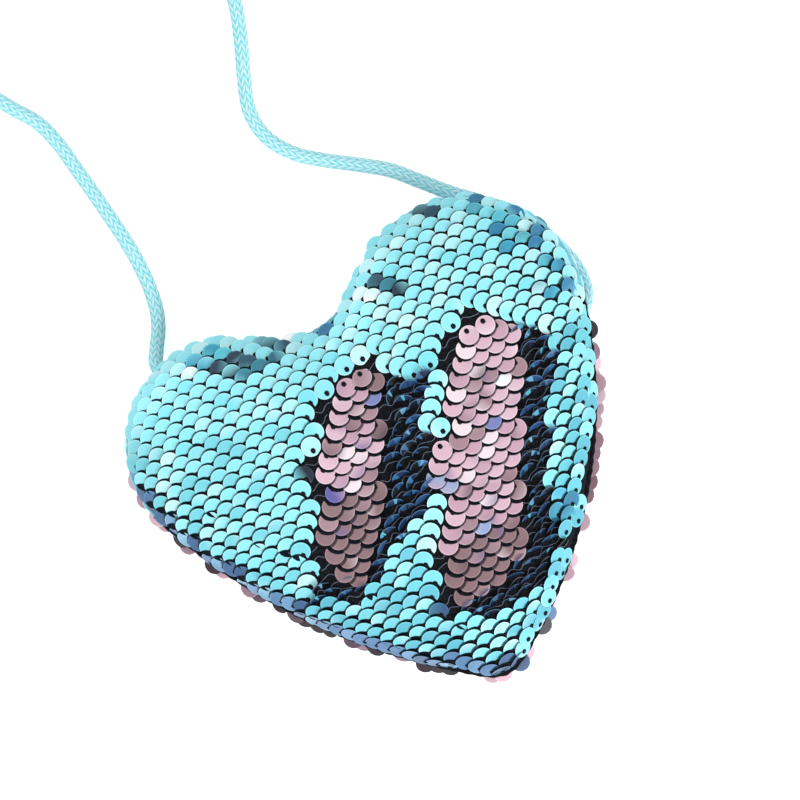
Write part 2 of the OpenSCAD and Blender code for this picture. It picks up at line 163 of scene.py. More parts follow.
def heartOutline():
    h = heart
    lobeR, lobeL, tip = h["rightLobe"], h["leftLobe"], h["tip"]
    notch = meeting(lobeL, h["leftR"] + h["notchR"], lobeR, h["rightR"] + h["notchR"], 1)
    right = meeting(lobeR, h["rightSideR"] - h["rightR"], tip, h["rightSideR"] - h["tipR"], -1)
    left = meeting(lobeL, h["leftSideR"] - h["leftR"], tip, h["leftSideR"] - h["tipR"], 1)
    return np.concatenate([
        arcPoints(lobeR, h["rightR"], bearing(right, lobeR), bearing(lobeR, notch), 400, 1),
        arcPoints(notch, h["notchR"], bearing(notch, lobeR), bearing(notch, lobeL), 120, -1),
        arcPoints(lobeL, h["leftR"], bearing(lobeL, notch), bearing(left, lobeL), 400, 1),
        arcPoints(left, h["leftSideR"], bearing(left, lobeL), bearing(left, tip), 150, 1),
        arcPoints(tip, h["tipR"], bearing(left, tip), bearing(right, tip), 100, 1),
        arcPoints(right, h["rightSideR"], bearing(right, tip), bearing(right, lobeR), 150, 1),
    ])


middle = np.array(heart["middle"], float)
spokes = heartOutline() - middle
spokeAngles = np.unwrap(np.arctan2(spokes[:, 1], spokes[:, 0]))
spokeLengths = np.hypot(spokes[:, 0], spokes[:, 1])


def reachAt(angle):
    first = spokeAngles[0]
    a = (np.asarray(angle) - first) % (2 * math.pi) + first
    return np.interp(a, np.append(spokeAngles, first + 2 * math.pi), np.append(spokeLengths, spokeLengths[0]))


def degreesAt(x, y):  # about the heart's middle
    return math.degrees(math.atan2(y - middle[1], x - middle[0])) % 360


# Both faces are superellipses from rim to middle
faceForms = dict(
    front=dict(rim=11.7, puff=12.3, power=2.3, up=1),
    back=dict(rim=9.3, puff=9.8, power=3.5, up=-1),
)
profileTurns = np.linspace(0, math.pi / 2, 241)


def profileAt(side, turn, inset):  # share of the way out to the rim, and height over it
    form = faceForms[side]
    return np.sin(turn) ** (2 / form["power"]), np.cos(turn) ** (2 / form["power"]) * (form["puff"] - inset)


def surfacePoint(side, angle, turn, inset):
    form = faceForms[side]
    k, z = profileAt(side, turn, inset)
    r = reachAt(angle) * (1 - inset / heart["halfWidth"]) * k
    return np.stack([
        middle[0] + r * np.cos(angle), middle[1] + r * np.sin(angle), form["rim"] + form["up"] * z], -1)


def flatToSurface(side, x, y, inset):  # the place at the same length from the middle, and the length left to the rim
    angle, length = math.atan2(y - middle[1], x - middle[0]), math.hypot(x - middle[0], y - middle[1])
    k, z = profileAt(side, profileTurns, inset)
    r = float(reachAt(angle)) * (1 - inset / heart["halfWidth"]) * k
    lengths = lengthsAlong(np.hypot(np.diff(r), np.diff(z)))
    turn = float(np.interp(length, lengths, profileTurns))
    return surfacePoint(side, angle, turn, inset), lengths[-1] - length


# The room for the zip in the rim of the right lobe, in degrees about the lobe's centre
zipRoom = dict(start=-18, end=149, r=21.65, low=3.8, high=12.6, soften=4, slack=0.05)


def zipShare(points):
    d = points[..., :2] - np.array(heart["rightLobe"])
    a = np.degrees(np.arctan2(d[..., 1], d[..., 0]))
    a = np.where(a < -90, a + 360, a)
    inRing = np.hypot(d[..., 0], d[..., 1]) > zipRoom["r"] - 0.4
    share = np.clip((a - zipRoom["start"]) / zipRoom["soften"] + 0.5, 0, 1)
    share = share * np.clip((zipRoom["end"] - a) / zipRoom["soften"] + 0.5, 0, 1)
    return share * inRing


def clearOfZip(side, points):
    share = zipShare(points)
    z = points[..., 2]
    if side == "front":
        wanted = np.maximum(z, zipRoom["high"] + zipRoom["slack"])
    else:
        wanted = np.minimum(z, zipRoom["low"] - zipRoom["slack"])
    points[..., 2] = z + (wanted - z) * share
    return points


grid = dict(rings=40, around=264, typicalReach=48)
gridAngles = np.linspace(0, 2 * math.pi, grid["around"], endpoint=False) + 0.3


def ringTurns(side):
    k, z = profileAt(side, profileTurns, 0)
    lengths = lengthsAlong(np.hypot(np.diff(k * grid["typicalReach"]), np.diff(z)))
    steps = np.linspace(0, 1, grid["rings"] + 1)[1:]
    return np.interp(lengths[-1] * steps, lengths, profileTurns)


def sideGrid(side, inset):
    a, t = np.meshgrid(gridAngles, ringTurns(side))
    return surfacePoint(side, a, t, inset), surfacePoint(side, np.array(0.0), np.array(0.0), inset)


def stacked(top, points):
    return np.concatenate([top[None], points.reshape(-1, 3)])


def gridFaces(start, flip):
    m = grid["around"]
    faces = [(0, 1 + j, 1 + (j + 1) % m) for j in range(m)]
    faces += [(a, d, c, b) for a, b, c, d in tubeFaces(grid["rings"], m, 1)]
    if flip:
        faces = [f[::-1] for f in faces]
    return [tuple(start + v for v in f) for f in faces]


# The sewn rim gathers the cloth into small puckers
pucker = dict(height=0.35, waves=120, reach=5.0)


def puckered(points):
    rim = points[-1]
    depth = np.linalg.norm(points - rim, axis=-1)
    wave = np.sin(gridAngles * pucker["waves"] + 2.2 * np.sin(gridAngles * 7) + 1.4 * np.sin(gridAngles * 17 + 1))
    fade = np.exp(-depth / pucker["reach"]) * np.clip(depth / 1.5, 0, 1)
    outward = points - np.array([middle[0], middle[1], rim[0, 2]])
    outward /= np.linalg.norm(outward, axis=-1, keepdims=True)
    return points + outward * (wave[None, :] * fade * pucker["height"])[..., None]


clothSim = dict(frames=20, pressure=4.0, cap=0.4, mass=0.25, stiffness=12)


def simulatedShift(side, inset):
    points, top = sideGrid(side, inset)
    obj = meshPiece(side + "Trial", stacked(top, puckered(points)) * mm, gridFaces(0, side == "back"))
    m = grid["around"]
    pins = obj.vertex_groups.new(name="pins")
    pins.add(list(range(1 + (grid["rings"] - 1) * m, 1 + grid["rings"] * m)), 1.0, "REPLACE")
    cloth = obj.modifiers.new("cloth", "CLOTH")
    for key, value in dict(quality=6, mass=clothSim["mass"], use_pressure=True,
                           uniform_pressure_force=clothSim["pressure"], tension_stiffness=clothSim["stiffness"],
                           compression_stiffness=clothSim["stiffness"], bending_stiffness=0.4,
                           vertex_group_mass="pins").items():
        setattr(cloth.settings, key, value)
    cloth.settings.effector_weights.gravity = 0
    cloth.collision_settings.use_collision = False
    scene = bpy.context.scene
    for holder in (scene, cloth.point_cache):
        holder.frame_start, holder.frame_end = 1, clothSim["frames"]
    for f in range(1, clothSim["frames"] + 1):
        scene.frame_set(f)
    done = obj.evaluated_get(bpy.context.evaluated_depsgraph_get())
    moved = np.array([v.co for v in done.data.vertices]) / mm - stacked(top, points)
    scene.frame_set(1)
    bpy.data.objects.remove(obj)
    length = np.linalg.norm(moved, axis=1, keepdims=True)
    return moved * np.minimum(1, clothSim["cap"] / np.maximum(length, 1e-9))


# Depths of each layer's outer and inner face under the sequins' top, and the lowest place of its back half
depths = dict(cloth=(0.9, 1.4), wadding=(1.5, 3.3), lining=(3.4, 4.2))
backLowest = dict(cloth=0.45, wadding=1.05, lining=2.95)
shifts = {}
for side in ("front", "back"):
    shifts[side] = simulatedShift(side, depths["cloth"][0])
print("cloth shifts up to", [round(float(np.abs(s).max()), 2) for s in shifts.values()])


def cleaned(b):
    bmesh.ops.remove_doubles(b, verts=b.verts, dist=0.01 * mm)
    bmesh.ops.dissolve_degenerate(b, edges=b.edges, dist=0.005 * mm)


def layerPiece(name, side, layer, share):
    whole = []
    outInset = depths[layer][0]
    for inset in depths[layer]:
        points, top = sideGrid(side, inset)
        points = clearOfZip(side, stacked(top, points) + shifts[side] * share)
        if side == "back":
            points[:, 2] = np.maximum(points[:, 2], backLowest[layer] + (inset - outInset))
        whole.append(points)
    count = len(whole[0])
    flip = side == "back"
    faces = gridFaces(0, flip) + gridFaces(count, not flip)
    n, m = grid["rings"], grid["around"]
    for j in range(m):
        a, b = 1 + (n - 1) * m + j, 1 + (n - 1) * m + (j + 1) % m
        quad = (a, a + count, b + count, b)
        faces.append(quad[::-1] if flip else quad)
    obj = meshPiece(name, np.concatenate(whole) * mm, faces)
    reworked(obj, cleaned)
    obj.data.shade_smooth()
    return obj, whole[0]


# Where the mouth's flap would bend: from start to end, square to the fold; these points are worked out, but no bend is
# made and the pieces are only set in place
fold = dict(turn=79, start=11, end=16.5, z=22.5)


def bendWithFlap(obj):
    across = np.array([math.cos(math.radians(fold["turn"])), math.sin(math.radians(fold["turn"]))])
    near, far = [np.array(heart["rightLobe"]) + across * fold[k] for k in ("start", "end")]
    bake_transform(obj)


def hold(obj, side):
    if side == "front":
        bendWithFlap(obj)
    else:
        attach(obj, "purse")


mixSockets = dict(factor=0, a=6, b=7, result=2)  # those for colour, among the mix node's four kinds


def mixColour(tree, a, b, factor, blend="MIX"):
    inputs = {mixSockets["factor"]: factor, mixSockets["a"]: a, mixSockets["b"]: b}
    return addNode(tree, "ShaderNodeMix", inputs, data_type="RGBA", blend_type=blend)[mixSockets["result"]]


def calc(tree, operation, *values):
    return addNode(tree, "ShaderNodeMath", dict(enumerate(values)), operation=operation)["Value"]


def remap(tree, value, low=0.0, high=1.0, toLow=0.0, toHigh=1.0, **settings):
    return addNode(tree, "ShaderNodeMapRange", {"Value": value, "From Min": low, "From Max": high, "To Min": toLow,
                                                "To Max": toHigh}, **settings)["Result"]


def newEffect(name, gets, gives, build):
    made = bpy.data.node_groups.new(name, "ShaderNodeTree")
    for side, sockets in (("INPUT", gets), ("OUTPUT", gives)):
        for label, kind in sockets.items():
            made.interface.new_socket(label, in_out=side, socket_type="NodeSocket" + kind)
    into, out = made.nodes.new("NodeGroupInput"), made.nodes.new("NodeGroupOutput")
    wire(made, out, build(made, into.outputs))
    return made


def use(tree, effect, **inputs):
    return addNode(tree, "ShaderNodeGroup", inputs, node_tree=effect)


def objectPlace(tree):
    return addNode(tree, "ShaderNodeTexCoord")["Object"]


def grainParts(tree, into):
    found = {}
    for label, share, detail in (("Fine", 1.0, 5.0), ("Broad", 0.11, 3.0)):
        scale = calc(tree, "MULTIPLY", into["Scale"], share)
        found[label] = addNode(tree, "ShaderNodeTexNoise", {"Vector": into["Place"], "Scale": scale, "Detail": detail,
                                                            "Distortion": 0.8})["Fac"]
    return found


def yarnParts(tree, into):  # plain weave: the yarn on top changes from cell to cell
    spread = addNode(tree, "ShaderNodeSeparateXYZ", {"Vector": into["Place"]})
    turn = calc(tree, "DIVIDE", math.pi, into["Pitch"])
    waves = [calc(tree, "SINE", calc(tree, "MULTIPLY", spread[axis], turn)) for axis in "XY"]
    over = calc(tree, "GREATER_THAN", calc(tree, "MULTIPLY", *waves), 0.0)
    a, b = [calc(tree, "ABSOLUTE", w) for w in waves]
    tops = [calc(tree, "MULTIPLY", one, calc(tree, "MULTIPLY_ADD", other, 0.4, 0.6)) for one, other in ((a, b), (b, a))]
    warp = calc(tree, "MULTIPLY", tops[0], over)
    weft = calc(tree, "MULTIPLY", tops[1], calc(tree, "SUBTRACT", 1.0, over))
    return {"Height": calc(tree, "ADD", warp, weft), "Over": over}


def toneParts(tree, into):
    low, high = [calc(tree, operation, 0.5, into["Spread"]) for operation in ("SUBTRACT", "ADD")]
    first = mixColour(tree, into["Base"], into["Second"], remap(tree, into["Fine"], low, high))
    return {"Colour": mixColour(tree, first, into["Base"], into["Broad"])}


def liftParts(tree, into):
    return {"Normal": addNode(tree, "ShaderNodeBump", {"Height": into["Height"], "Distance": into["Depth"],
                                                       "Strength": 0.8})["Normal"]}


grain = newEffect("grain", dict(Place="Vector", Scale="Float"), dict(Fine="Float", Broad="Float"), grainParts)
yarns = newEffect("yarns", dict(Place="Vector", Pitch="Float"), dict(Height="Float", Over="Float"), yarnParts)
toneMix = newEffect("tone", dict(Base="Color", Second="Color", Fine="Float", Broad="Float", Spread="Float"),
                    dict(Colour="Color"), toneParts)
lift = newEffect("lift", dict(Height="Float", Depth="Float"), dict(Normal="Vector"), liftParts)


def toned(tree, base, second, fine, broad, spread):
    return use(tree, toneMix, Base=base, Second=second, Fine=fine, Broad=broad, Spread=spread)["Colour"]


def newMaterial(name):
    made = bpy.data.materials.new(name)
    made.use_nodes = True
    made.node_tree.nodes.clear()
    return made, made.node_tree


def shaded(made, inputs, height, depth):
    tree = made.node_tree
    normal = use(tree, lift, Height=height, Depth=depth)["Normal"]
    shader = addNode(tree, "ShaderNodeBsdfPrincipled", dict(inputs, Normal=normal))
    addNode(tree, "ShaderNodeOutputMaterial", {"Surface": shader["BSDF"]})
    return made


def knitMaterial():
    made, tree = newMaterial("blackKnit")
    place = objectPlace(tree)
    loops = addNode(tree, "ShaderNodeTexVoronoi", {"Vector": place, "Scale": 1500.0, "Randomness": 0.55})["Distance"]
    fuzz = use(tree, grain, Place=place, Scale=2600.0)["Fine"]
    wide = use(tree, grain, Place=place, Scale=800.0)["Broad"]
    # painted shade: each knit loop is painted lighter at its middle and darker where it sinks between loops
    thread = mixColour(tree, colour(46, 50, 60), colour(5, 5, 9), remap(tree, loops, 0.15, 0.6))
    flecks = toned(tree, thread, colour(8, 8, 12), fuzz, wide, 0.12)
    return shaded(made, {"Base Color": mixColour(tree, flecks, colour(14, 15, 20), wide), "Roughness": 0.9,
                         "Specular IOR Level": 0.12}, calc(tree, "SUBTRACT", fuzz, loops), 0.0004)


def fibreMaterial(name, base, dark, scale, rough, depth, specular=0.4, sheen=0.0):
    made, tree = newMaterial(name)
    place = objectPlace(tree)
    fibres = use(tree, grain, Place=place, Scale=scale)
    strands = addNode(tree, "ShaderNodeTexWave", {
        "Vector": place, "Scale": scale / 5, "Distortion": 14.0, "Detail": 3.0, "Detail Scale": 2.0})["Fac"]
    mask = calc(tree, "MULTIPLY_ADD", strands, 0.35, fibres["Fine"])
    return shaded(made, {"Base Color": toned(tree, base, dark, mask, fibres["Broad"], 0.3), "Roughness": rough,
                         "Specular IOR Level": specular, "Sheen Weight": sheen}, mask, depth)


def clothMaterial(name, base, dark, pitch, rough, sheen=0.0, coat=0.0, creases=0.5):
    made, tree = newMaterial(name)
    place = objectPlace(tree)
    weave = use(tree, yarns, Place=place, Pitch=pitch)
    fuzz = use(tree, grain, Place=place, Scale=0.9 / pitch)["Fine"]
    wide = use(tree, grain, Place=place, Scale=900.0)["Broad"]
    # painted shade: the weave is painted darker where the yarns sink
    shadedWeave = mixColour(tree, dark, base, weave["Height"])
    crossed = mixColour(tree, shadedWeave, mixColour(tree, shadedWeave, base, 0.5), weave["Over"])
    gloss = remap(tree, wide, 0.3, 0.7, rough * 0.8, min(1.0, rough * 1.25))
    soft = calc(tree, "MULTIPLY", wide, creases * 8)
    height = calc(tree, "ADD", soft, calc(tree, "MULTIPLY_ADD", fuzz, 0.5, weave["Height"]))
    return shaded(made, {"Base Color": toned(tree, crossed, dark, fuzz, wide, 0.4), "Roughness": gloss,
                         "Sheen Weight": sheen, "Coat Weight": coat}, height, pitch / 6)


knit = knitMaterial()
wadding = fibreMaterial("waddingFibre", colour(246, 246, 242), colour(196, 199, 198), 900.0, 0.95, 0.0006, 0.2, 0.3)
lining = clothMaterial("liningCloth", colour(190, 233, 240), colour(136, 196, 210), 0.0006, 0.6, sheen=0.1)
satin = clothMaterial("satinCloth", colour(142, 220, 238), colour(98, 186, 214), 0.0003, 0.34, sheen=0.06,
                      coat=0.1, creases=1.0)

skins = {}
for side, layer, share, finish, slot, nodes in (
        ("front", "Cloth", 1.0, knit, "sequin_knit", ("front_panel", "flap_panel")),
        ("front", "Wadding", 0.8, wadding, "wadding", ("front_padding", "flap_padding")),
        ("front", "Lining", 0.8, lining, "lining", ("front_lining", "flap_lining")),
        ("back", "Cloth", 1.0, knit, "sequin_knit", ("back_panel",)),
        ("back", "Wadding", 0.8, wadding, "wadding", ("back_padding",)),
        ("back", "Lining", 0.8, lining, "lining", ("back_lining",))):
    piece, skin = layerPiece(side + layer, side, layer.lower(), share)
    dress(piece, slot, finish)
    hold(piece, side)
    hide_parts(*nodes)
    if layer == "Cloth":
        skins[side] = skin
print("cloth layers done")

# Where the sequins are sewn: rows along the heart's width, each half a pitch on from the last
lattice = dict(pitch=4.67, row=2.55, slope=math.radians(4.8), origin=(33.8, 29.1), rows=60, cols=40, far=90)
disc = dict(r=2.5, off=1.25, hole=0.62, t=0.1, sides=16, lowest=0.02)

# Picture points to the millimetre along and across the turned view, and where the origin shows
view = dict(along=3.5916, across=1.849, originX=404.2, originY=470.6)


def inPicture(x, y):
    along, across = view["along"], view["across"]
    return along * x - across * y + view["originX"], -across * x - along * y + view["originY"]


def latticePoints(side, inset, margin):
    ex = np.array([math.cos(lattice["slope"]), math.sin(lattice["slope"])])
    ey = np.array([0.0, 1.0])
    up = faceForms[side]["up"]
    found = []
    for i in range(-lattice["rows"], lattice["rows"] + 1):
        for j in range(-lattice["cols"], lattice["cols"] + 1):
            along = (j + (i % 2) * 0.5) * lattice["pitch"]
            q = np.array(lattice["origin"]) + ex * along + ey * i * lattice["row"]
            if np.abs(q).max() > lattice["far"]:
                continue
            p, left = flatToSurface(side, q[0], q[1], inset)
            if left < margin(p):
                continue
            px, nx, py, ny = [flatToSurface(side, *(q + step), inset)[0] for step in (ex, -ex, ey, -ey)]
            u, v = px - nx, py - ny
            n, u = unit(np.cross(u, v) * up), unit(u)
            found.append(dict(p=p, u=u, v=np.cross(n, u) * up, n=n, row=i, col=j, left=left))
    return found


def discForm():  # a flat ring, its hole near the edge
    form = bmesh.new()
    turn = Matrix.Rotation(math.pi / disc["sides"], 4, "Z")
    bmesh.ops.create_circle(form, segments=disc["sides"], radius=disc["r"],
                            matrix=Matrix.Translation((0, disc["off"], 0)) @ turn)
    bmesh.ops.create_circle(form, segments=disc["sides"] // 2, radius=disc["hole"], matrix=turn)
    bmesh.ops.bridge_loops(form, edges=form.edges[:])
    bmesh.ops.solidify(form, geom=form.faces[:], thickness=disc["t"])
    bmesh.ops.recalc_face_normals(form, faces=form.faces)
    bmesh.ops.translate(form, verts=form.verts, vec=(0, 0, -min(v.co.z for v in form.verts)))
    form.verts.index_update()
    form.normal_update()
    points = np.array([v.co[:] for v in form.verts])
    faces = [tuple(v.index for v in f.verts) for f in form.faces]
    kinds = [0 if f.normal.z > 0.5 else 1 if f.normal.z < -0.5 else 2 for f in form.faces]  # outer, inner, edge
    form.free()
    return points, faces, kinds


discPoints, discFaces, discKinds = discForm()


def turned(vector, axis, degrees):
    t = math.radians(degrees)
    axis = unit(axis)
    return (vector * math.cos(t) + np.cross(axis, vector) * math.sin(t)
            + axis * np.dot(axis, vector) * (1 - math.cos(t)))


# What the picture shows where, as rows of height, left and right: the brushed strips and the bare knit beside them
pinkRows = (
    ((366, 360, 376), (380, 345, 392), (400, 328, 388), (440, 322, 388), (460, 316, 387), (500, 321, 386),
     (540, 313, 386), (560, 324, 382), (592, 340, 362)),
    ((318, 466, 492), (330, 452, 512), (345, 449, 528), (360, 447, 524), (380, 440, 526), (400, 437, 526),
     (420, 445, 524), (445, 440, 526), (455, 424, 524), (488, 421, 524), (500, 444, 526), (540, 437, 528),
     (560, 439, 520), (580, 441, 502), (606, 446, 474)),
)
bareRows = (
    ((372, 385, 415), (380, 385, 440), (470, 385, 437), (500, 385, 430), (520, 385, 422), (540, 385, 398),
     (570, 375, 392), (584, 305, 375), (600, 310, 352)),
    ((326, 505, 540), (350, 520, 556), (400, 520, 550), (440, 520, 550), (470, 520, 545), (500, 520, 552),
     (540, 520, 560), (565, 510, 552), (590, 480, 530), (612, 445, 492)),
)
loneBlue = ((431, 385), (432, 418), (432, 430), (408, 545), (420, 540))
discPx = dict(shrink=8, grow=7, r=10, right=2.3, down=4.5)
# Groups of sequins with painted reflections, that mirror something else: middle, half width, half height, tints and
# chance
clusters = (
    (192, 381, 16, 9, "pale", 0.8), (242, 374, 34, 12, "deep", 1), (218, 364, 24, 9, "sea", 0.8),
    (278, 354, 17, 14, "deep", 0.9), (294, 339, 10, 9, "pale", 0.9), (392, 296, 27, 11, "deep", 1),
    (366, 303, 17, 8, "pale", 0.8), (424, 217, 17, 8, "deep", 0.8), (486, 201, 14, 9, "pale", 0.95),
    (503, 224, 10, 9, "pale", 1), (519, 210, 8, 8, "deep", 0.9), (482, 224, 14, 22, "teal", 0.55),
    (524, 240, 24, 34, "mixed", 0.9), (545, 285, 22, 24, "mixed", 0.45), (576, 296, 15, 14, "mixed", 0.8),
    (341, 333, 13, 12, "spark", 0.9), (424, 387, 6, 6, "glint", 1), (322, 585, 20, 14, "glint", 0.5),
    (470, 612, 30, 9, "glint", 0.5), (298, 482, 16, 7, "glint", 0.9), (565, 505, 12, 18, "sea", 0.6),
)
# Pink sequins with painted reflections: dark, pale and violet glints
pinkClusters = dict(
    dusk=((450, 356), (476, 391)), pale=((495, 382),),
    violet=((488, 420), (481, 522), (525, 489), (431, 476), (444, 484), (333, 497), (337, 514), (369, 396), (380, 412)),
)


def rowSpan(rows, y):
    if y < rows[0][0] or y > rows[-1][0]:
        return None
    ys, lefts, rights = zip(*rows)
    return float(np.interp(y, ys, lefts)), float(np.interp(y, ys, rights))


def insideRows(rows, x, y, shrink):
    if y < rows[0][0] + shrink or y > rows[-1][0] - shrink:
        return False
    left, right = rowSpan(rows, min(max(y, rows[0][0]), rows[-1][0]))
    return left + shrink <= x <= right - shrink


def stateAt(x, y):
    low = (x + discPx["right"], y + discPx["down"])  # middle of the disc when it hangs pink side up
    high = (x - discPx["right"], y - discPx["down"])
    if any(insideRows(rows, *low, discPx["shrink"]) for rows in pinkRows):
        return "pink"
    if any(math.hypot(high[0] - a, high[1] - b) < discPx["r"] for a, b in loneBlue):
        return "blue"
    for rows in bareRows:
        if insideRows(rows, *high, 0):
            left, right = rowSpan(rows, high[1])
            return "edge" if high[0] > left + (right - left) * 0.12 else "bare"
    return "bare" if any(insideRows(rows, *high, -discPx["grow"]) for rows in pinkRows) else "blue"


# Sequin tints. The pink tints are lit and shaded copies of the pink face; pale, deep, sea, teal, night, spark, violet,
# dusk and haze are painted reflections; the side faces' tints are painted shade
tints = dict(
    blue=((142, 229, 241), (152, 234, 244), (126, 222, 235), (146, 231, 243)),
    light=((172, 236, 242), (190, 243, 249)),
    pale=((244, 253, 253), (222, 248, 250)),
    deep=((44, 104, 124), (30, 74, 94), (22, 50, 70), (54, 126, 146)),
    sea=((84, 190, 208), (62, 160, 190), (48, 122, 162)),
    teal=((86, 184, 204), (60, 156, 190), (108, 204, 218), (44, 124, 166)),
    low=((118, 208, 222), (102, 196, 212), (136, 220, 232), (92, 182, 202)),
    pink=((218, 182, 198), (200, 162, 180), (164, 132, 142), (240, 222, 230), (136, 108, 114)),
    dusk=((92, 70, 78), (52, 42, 50), (112, 100, 150)),
    night=((22, 44, 84), (34, 74, 118), (14, 24, 46)),
    haze=((104, 150, 190), (80, 124, 168), (122, 172, 206), (56, 96, 138), (134, 188, 216)),
    spark=((54, 120, 172), (110, 176, 214), (36, 78, 128), (28, 52, 92), (62, 110, 150)),
    rim=((204, 168, 182), (212, 182, 196), (184, 148, 162)),
    rimLow=((150, 114, 128), (126, 94, 106), (186, 150, 164)),
    violet=((118, 128, 186), (92, 88, 158), (148, 166, 206), (176, 160, 198)),
    rimDark=((28, 22, 32), (48, 38, 48), (92, 72, 88), (200, 166, 180), (150, 122, 138)),
    rimTip=((128, 152, 190), (212, 178, 192), (40, 34, 46), (96, 120, 160)),
    backFace=((128, 210, 224), (140, 220, 232), (116, 198, 214)),
    black=((8, 9, 14),),
    paintedSideShade=((14, 30, 40), (44, 30, 38)),
)
tints = {kind: tuple(colour(*c) for c in shades) for kind, shades in tints.items()}
tints["mixed"] = tints["teal"] * 2 + tints["deep"][3:] + tints["light"]
tints["glint"] = tints["night"] + tints["sea"]

# Where the back's outermost sequins stand out past the seam, with their inner faces up: left, right, top and bottom
# in the picture, length to the rim, chance, degrees that they drop, tints
flares = (
    (545, 640, 330, 362, 3.2, 0.6, 30, "rimDark"), (545, 640, 362, 430, 4.2, 1, 14, "rim"),
    (545, 640, 430, 500, 4.2, 0.85, 26, "rimLow"), (545, 640, 500, 610, 4.2, 0.8, 18, "rim"),
    (120, 175, 480, 560, 3.2, 0.8, 28, "rim"), (165, 290, 520, 640, 3.6, 0.85, 26, "rimDark"),
    (290, 470, 590, 700, 3.2, 0.75, 38, "rimDark"), (470, 487, 600, 710, 4.0, 0.9, 16, "haze"),
    (487, 504, 600, 710, 4.0, 1, 14, "rim"), (504, 550, 600, 710, 4.0, 0.75, 16, "rimTip"),
)


def flareAt(x, y, left, rnd):
    for x0, x1, y0, y1, reach, chance, drop, kind in flares:
        if x0 < x < x1 and y0 < y < y1 and left < reach:
            return (drop, kind) if rnd.random() < chance else None
    return None


def neighbourStates(states, row, col, down):
    step = 0 if row % 2 else -1
    return [states.get((row - 1 if down else row + 1, c)) for c in (col + step, col + step + 1)]


def outwardOf(n):
    return np.array([n[0], n[1], 0]) / math.hypot(n[0], n[1])


def pinkShade(x, y):  # painted shade: the strips are painted darker to the right, at their ends and low down
    spans = [span for span in (rowSpan(rows, y) for rows in pinkRows) if span and span[0] - 12 < x < span[1] + 12]
    rightness = max(0, (x - spans[0][0]) / (spans[0][1] - spans[0][0])) if spans else 0.5
    return 0.38 * rightness + 0.95 * clamp((y - 460) / 110) + (0.4 if x < 400 and abs(y - 455) > 30 else 0)


def windowTint(window, face):  # a sector of a standing sequin mirrors the light
    x, y = discPoints[list(face), :2].mean(axis=0)
    about = math.atan2(y - disc["off"], x) / (2 * math.pi)
    far = abs((about - window["at"] + 0.5) % 1 - 0.5)
    return window["tint"] if far < window["width"] / 2 else window["near"] if far < window["width"] * 0.8 else None


def backLook(look, rnd, spot):
    look.update(tilt=5 + rnd.gauss(0, 0.6), pick=rnd.choice(tints["backFace"]), amount=rnd.random() * 0.5,
                second=rnd.choice(tints["backFace"]), roll=rnd.gauss(0, 0.8))
    flare = flareAt(*spot["px"], spot["left"], rnd)
    if flare:
        drop, kind = flare
        look["under"] = rnd.choice(tints[kind])
        out, e = outwardOf(spot["n"]), math.radians(drop + rnd.gauss(0, 7))
        v = out * math.cos(e) + np.array([0, 0, -math.sin(e)])
        n = -out * math.sin(e) + np.array([0, 0, -math.cos(e)])
        look.update(u=np.cross(v, n), v=v, n=n, tilt=0, roll=rnd.gauss(0, 9))


# Pink tints by painted light level, from lightest to darkest
pinkByLight = dict(least=(0.85, 0.6, 0.42, 0.2), tint=(3, 0, 1, 2, 4))


def pinkLook(look, rnd, x, y):  # turned over at its hole
    shade = pinkShade(x, y)
    light = rnd.gauss(0.82, 0.2) - 0.75 * shade
    step = sum(light <= least for least in pinkByLight["least"])
    look.update(u=-look["u"], v=-look["v"], roll=-look["roll"], pick=tints["pink"][pinkByLight["tint"][step]],
                second=rnd.choice(tints["dusk"] + (tints["pink"][3],)), amount=rnd.random() ** 2 * 0.8,
                wide=0.7 + 1.1 * clamp(shade) + rnd.random() * 0.4)
    for kind, places in pinkClusters.items():
        for a, b in places:
            if math.hypot(x + discPx["right"] - a, y + discPx["down"] - b) < 6.5:
                look.update(pick=rnd.choice(tints[kind]), second=rnd.choice(tints["pink"]),
                            amount=0.3 + rnd.random() * 0.6)


def edgeLook(look, rnd):  # stands on edge, painted dark with one sector of painted reflection; an amount below none marks it for the material's pale-blue painted lip highlight
    look.update(tilt=46 + rnd.gauss(0, 5), roll=rnd.gauss(0, 9), lift=-1.35 + rnd.gauss(0, 0.15), spin=10,
                pick=rnd.choice(tints["night"] + tints["black"] * 2 + tints["spark"][2:4]),
                second=tints["black"][0], amount=-1)
    look["window"] = dict(at=0.25 + rnd.gauss(0, 0.09), width=rnd.choice((0.05, 0.09, 0.14)),
                          tint=rnd.choice(tints["spark"] + tints["sea"][:1]),
                          near=rnd.choice(tints["spark"] + tints["night"]))


def blueLook(look, rnd, x, y):
    look["pick"] = rnd.choices(tints["blue"] + tints["light"], (7, 3, 2, 5, 4 if y < 330 else 2, 1))[0]
    if x > 330 and rnd.random() < max((y - 480) / 110, 0.75 if x > 545 and y > 320 else 0):
        look["pick"] = rnd.choice(tints["low"])
    elif x < 330 and y > 440 and rnd.random() < 0.45:
        look["pick"] = tints["low"][rnd.choice((0, 2))]
    for a, b, halfWidth, halfHeight, kind, chance in clusters:
        if ((x - a) / halfWidth) ** 2 + ((y - b) / halfHeight) ** 2 < 1 and rnd.random() < chance:
            look.update(pick=rnd.choice(tints[kind]), second=rnd.choice(tints["blue"] + tints["deep"]),
                        amount=0.3 + rnd.random() * 0.5, tilt=look["tilt"] + rnd.gauss(0, 2),
                        roll=look["roll"] + rnd.gauss(0, 3))


# The outermost rows lie flatter than the cloth and stand over the rim; steep is the upward share of the cloth's normal
rimLean = dict(steep=0.8, over=0.35, degrees=24, lowDegrees=14, hazeSteep=0.73, lowSteep=0.79)


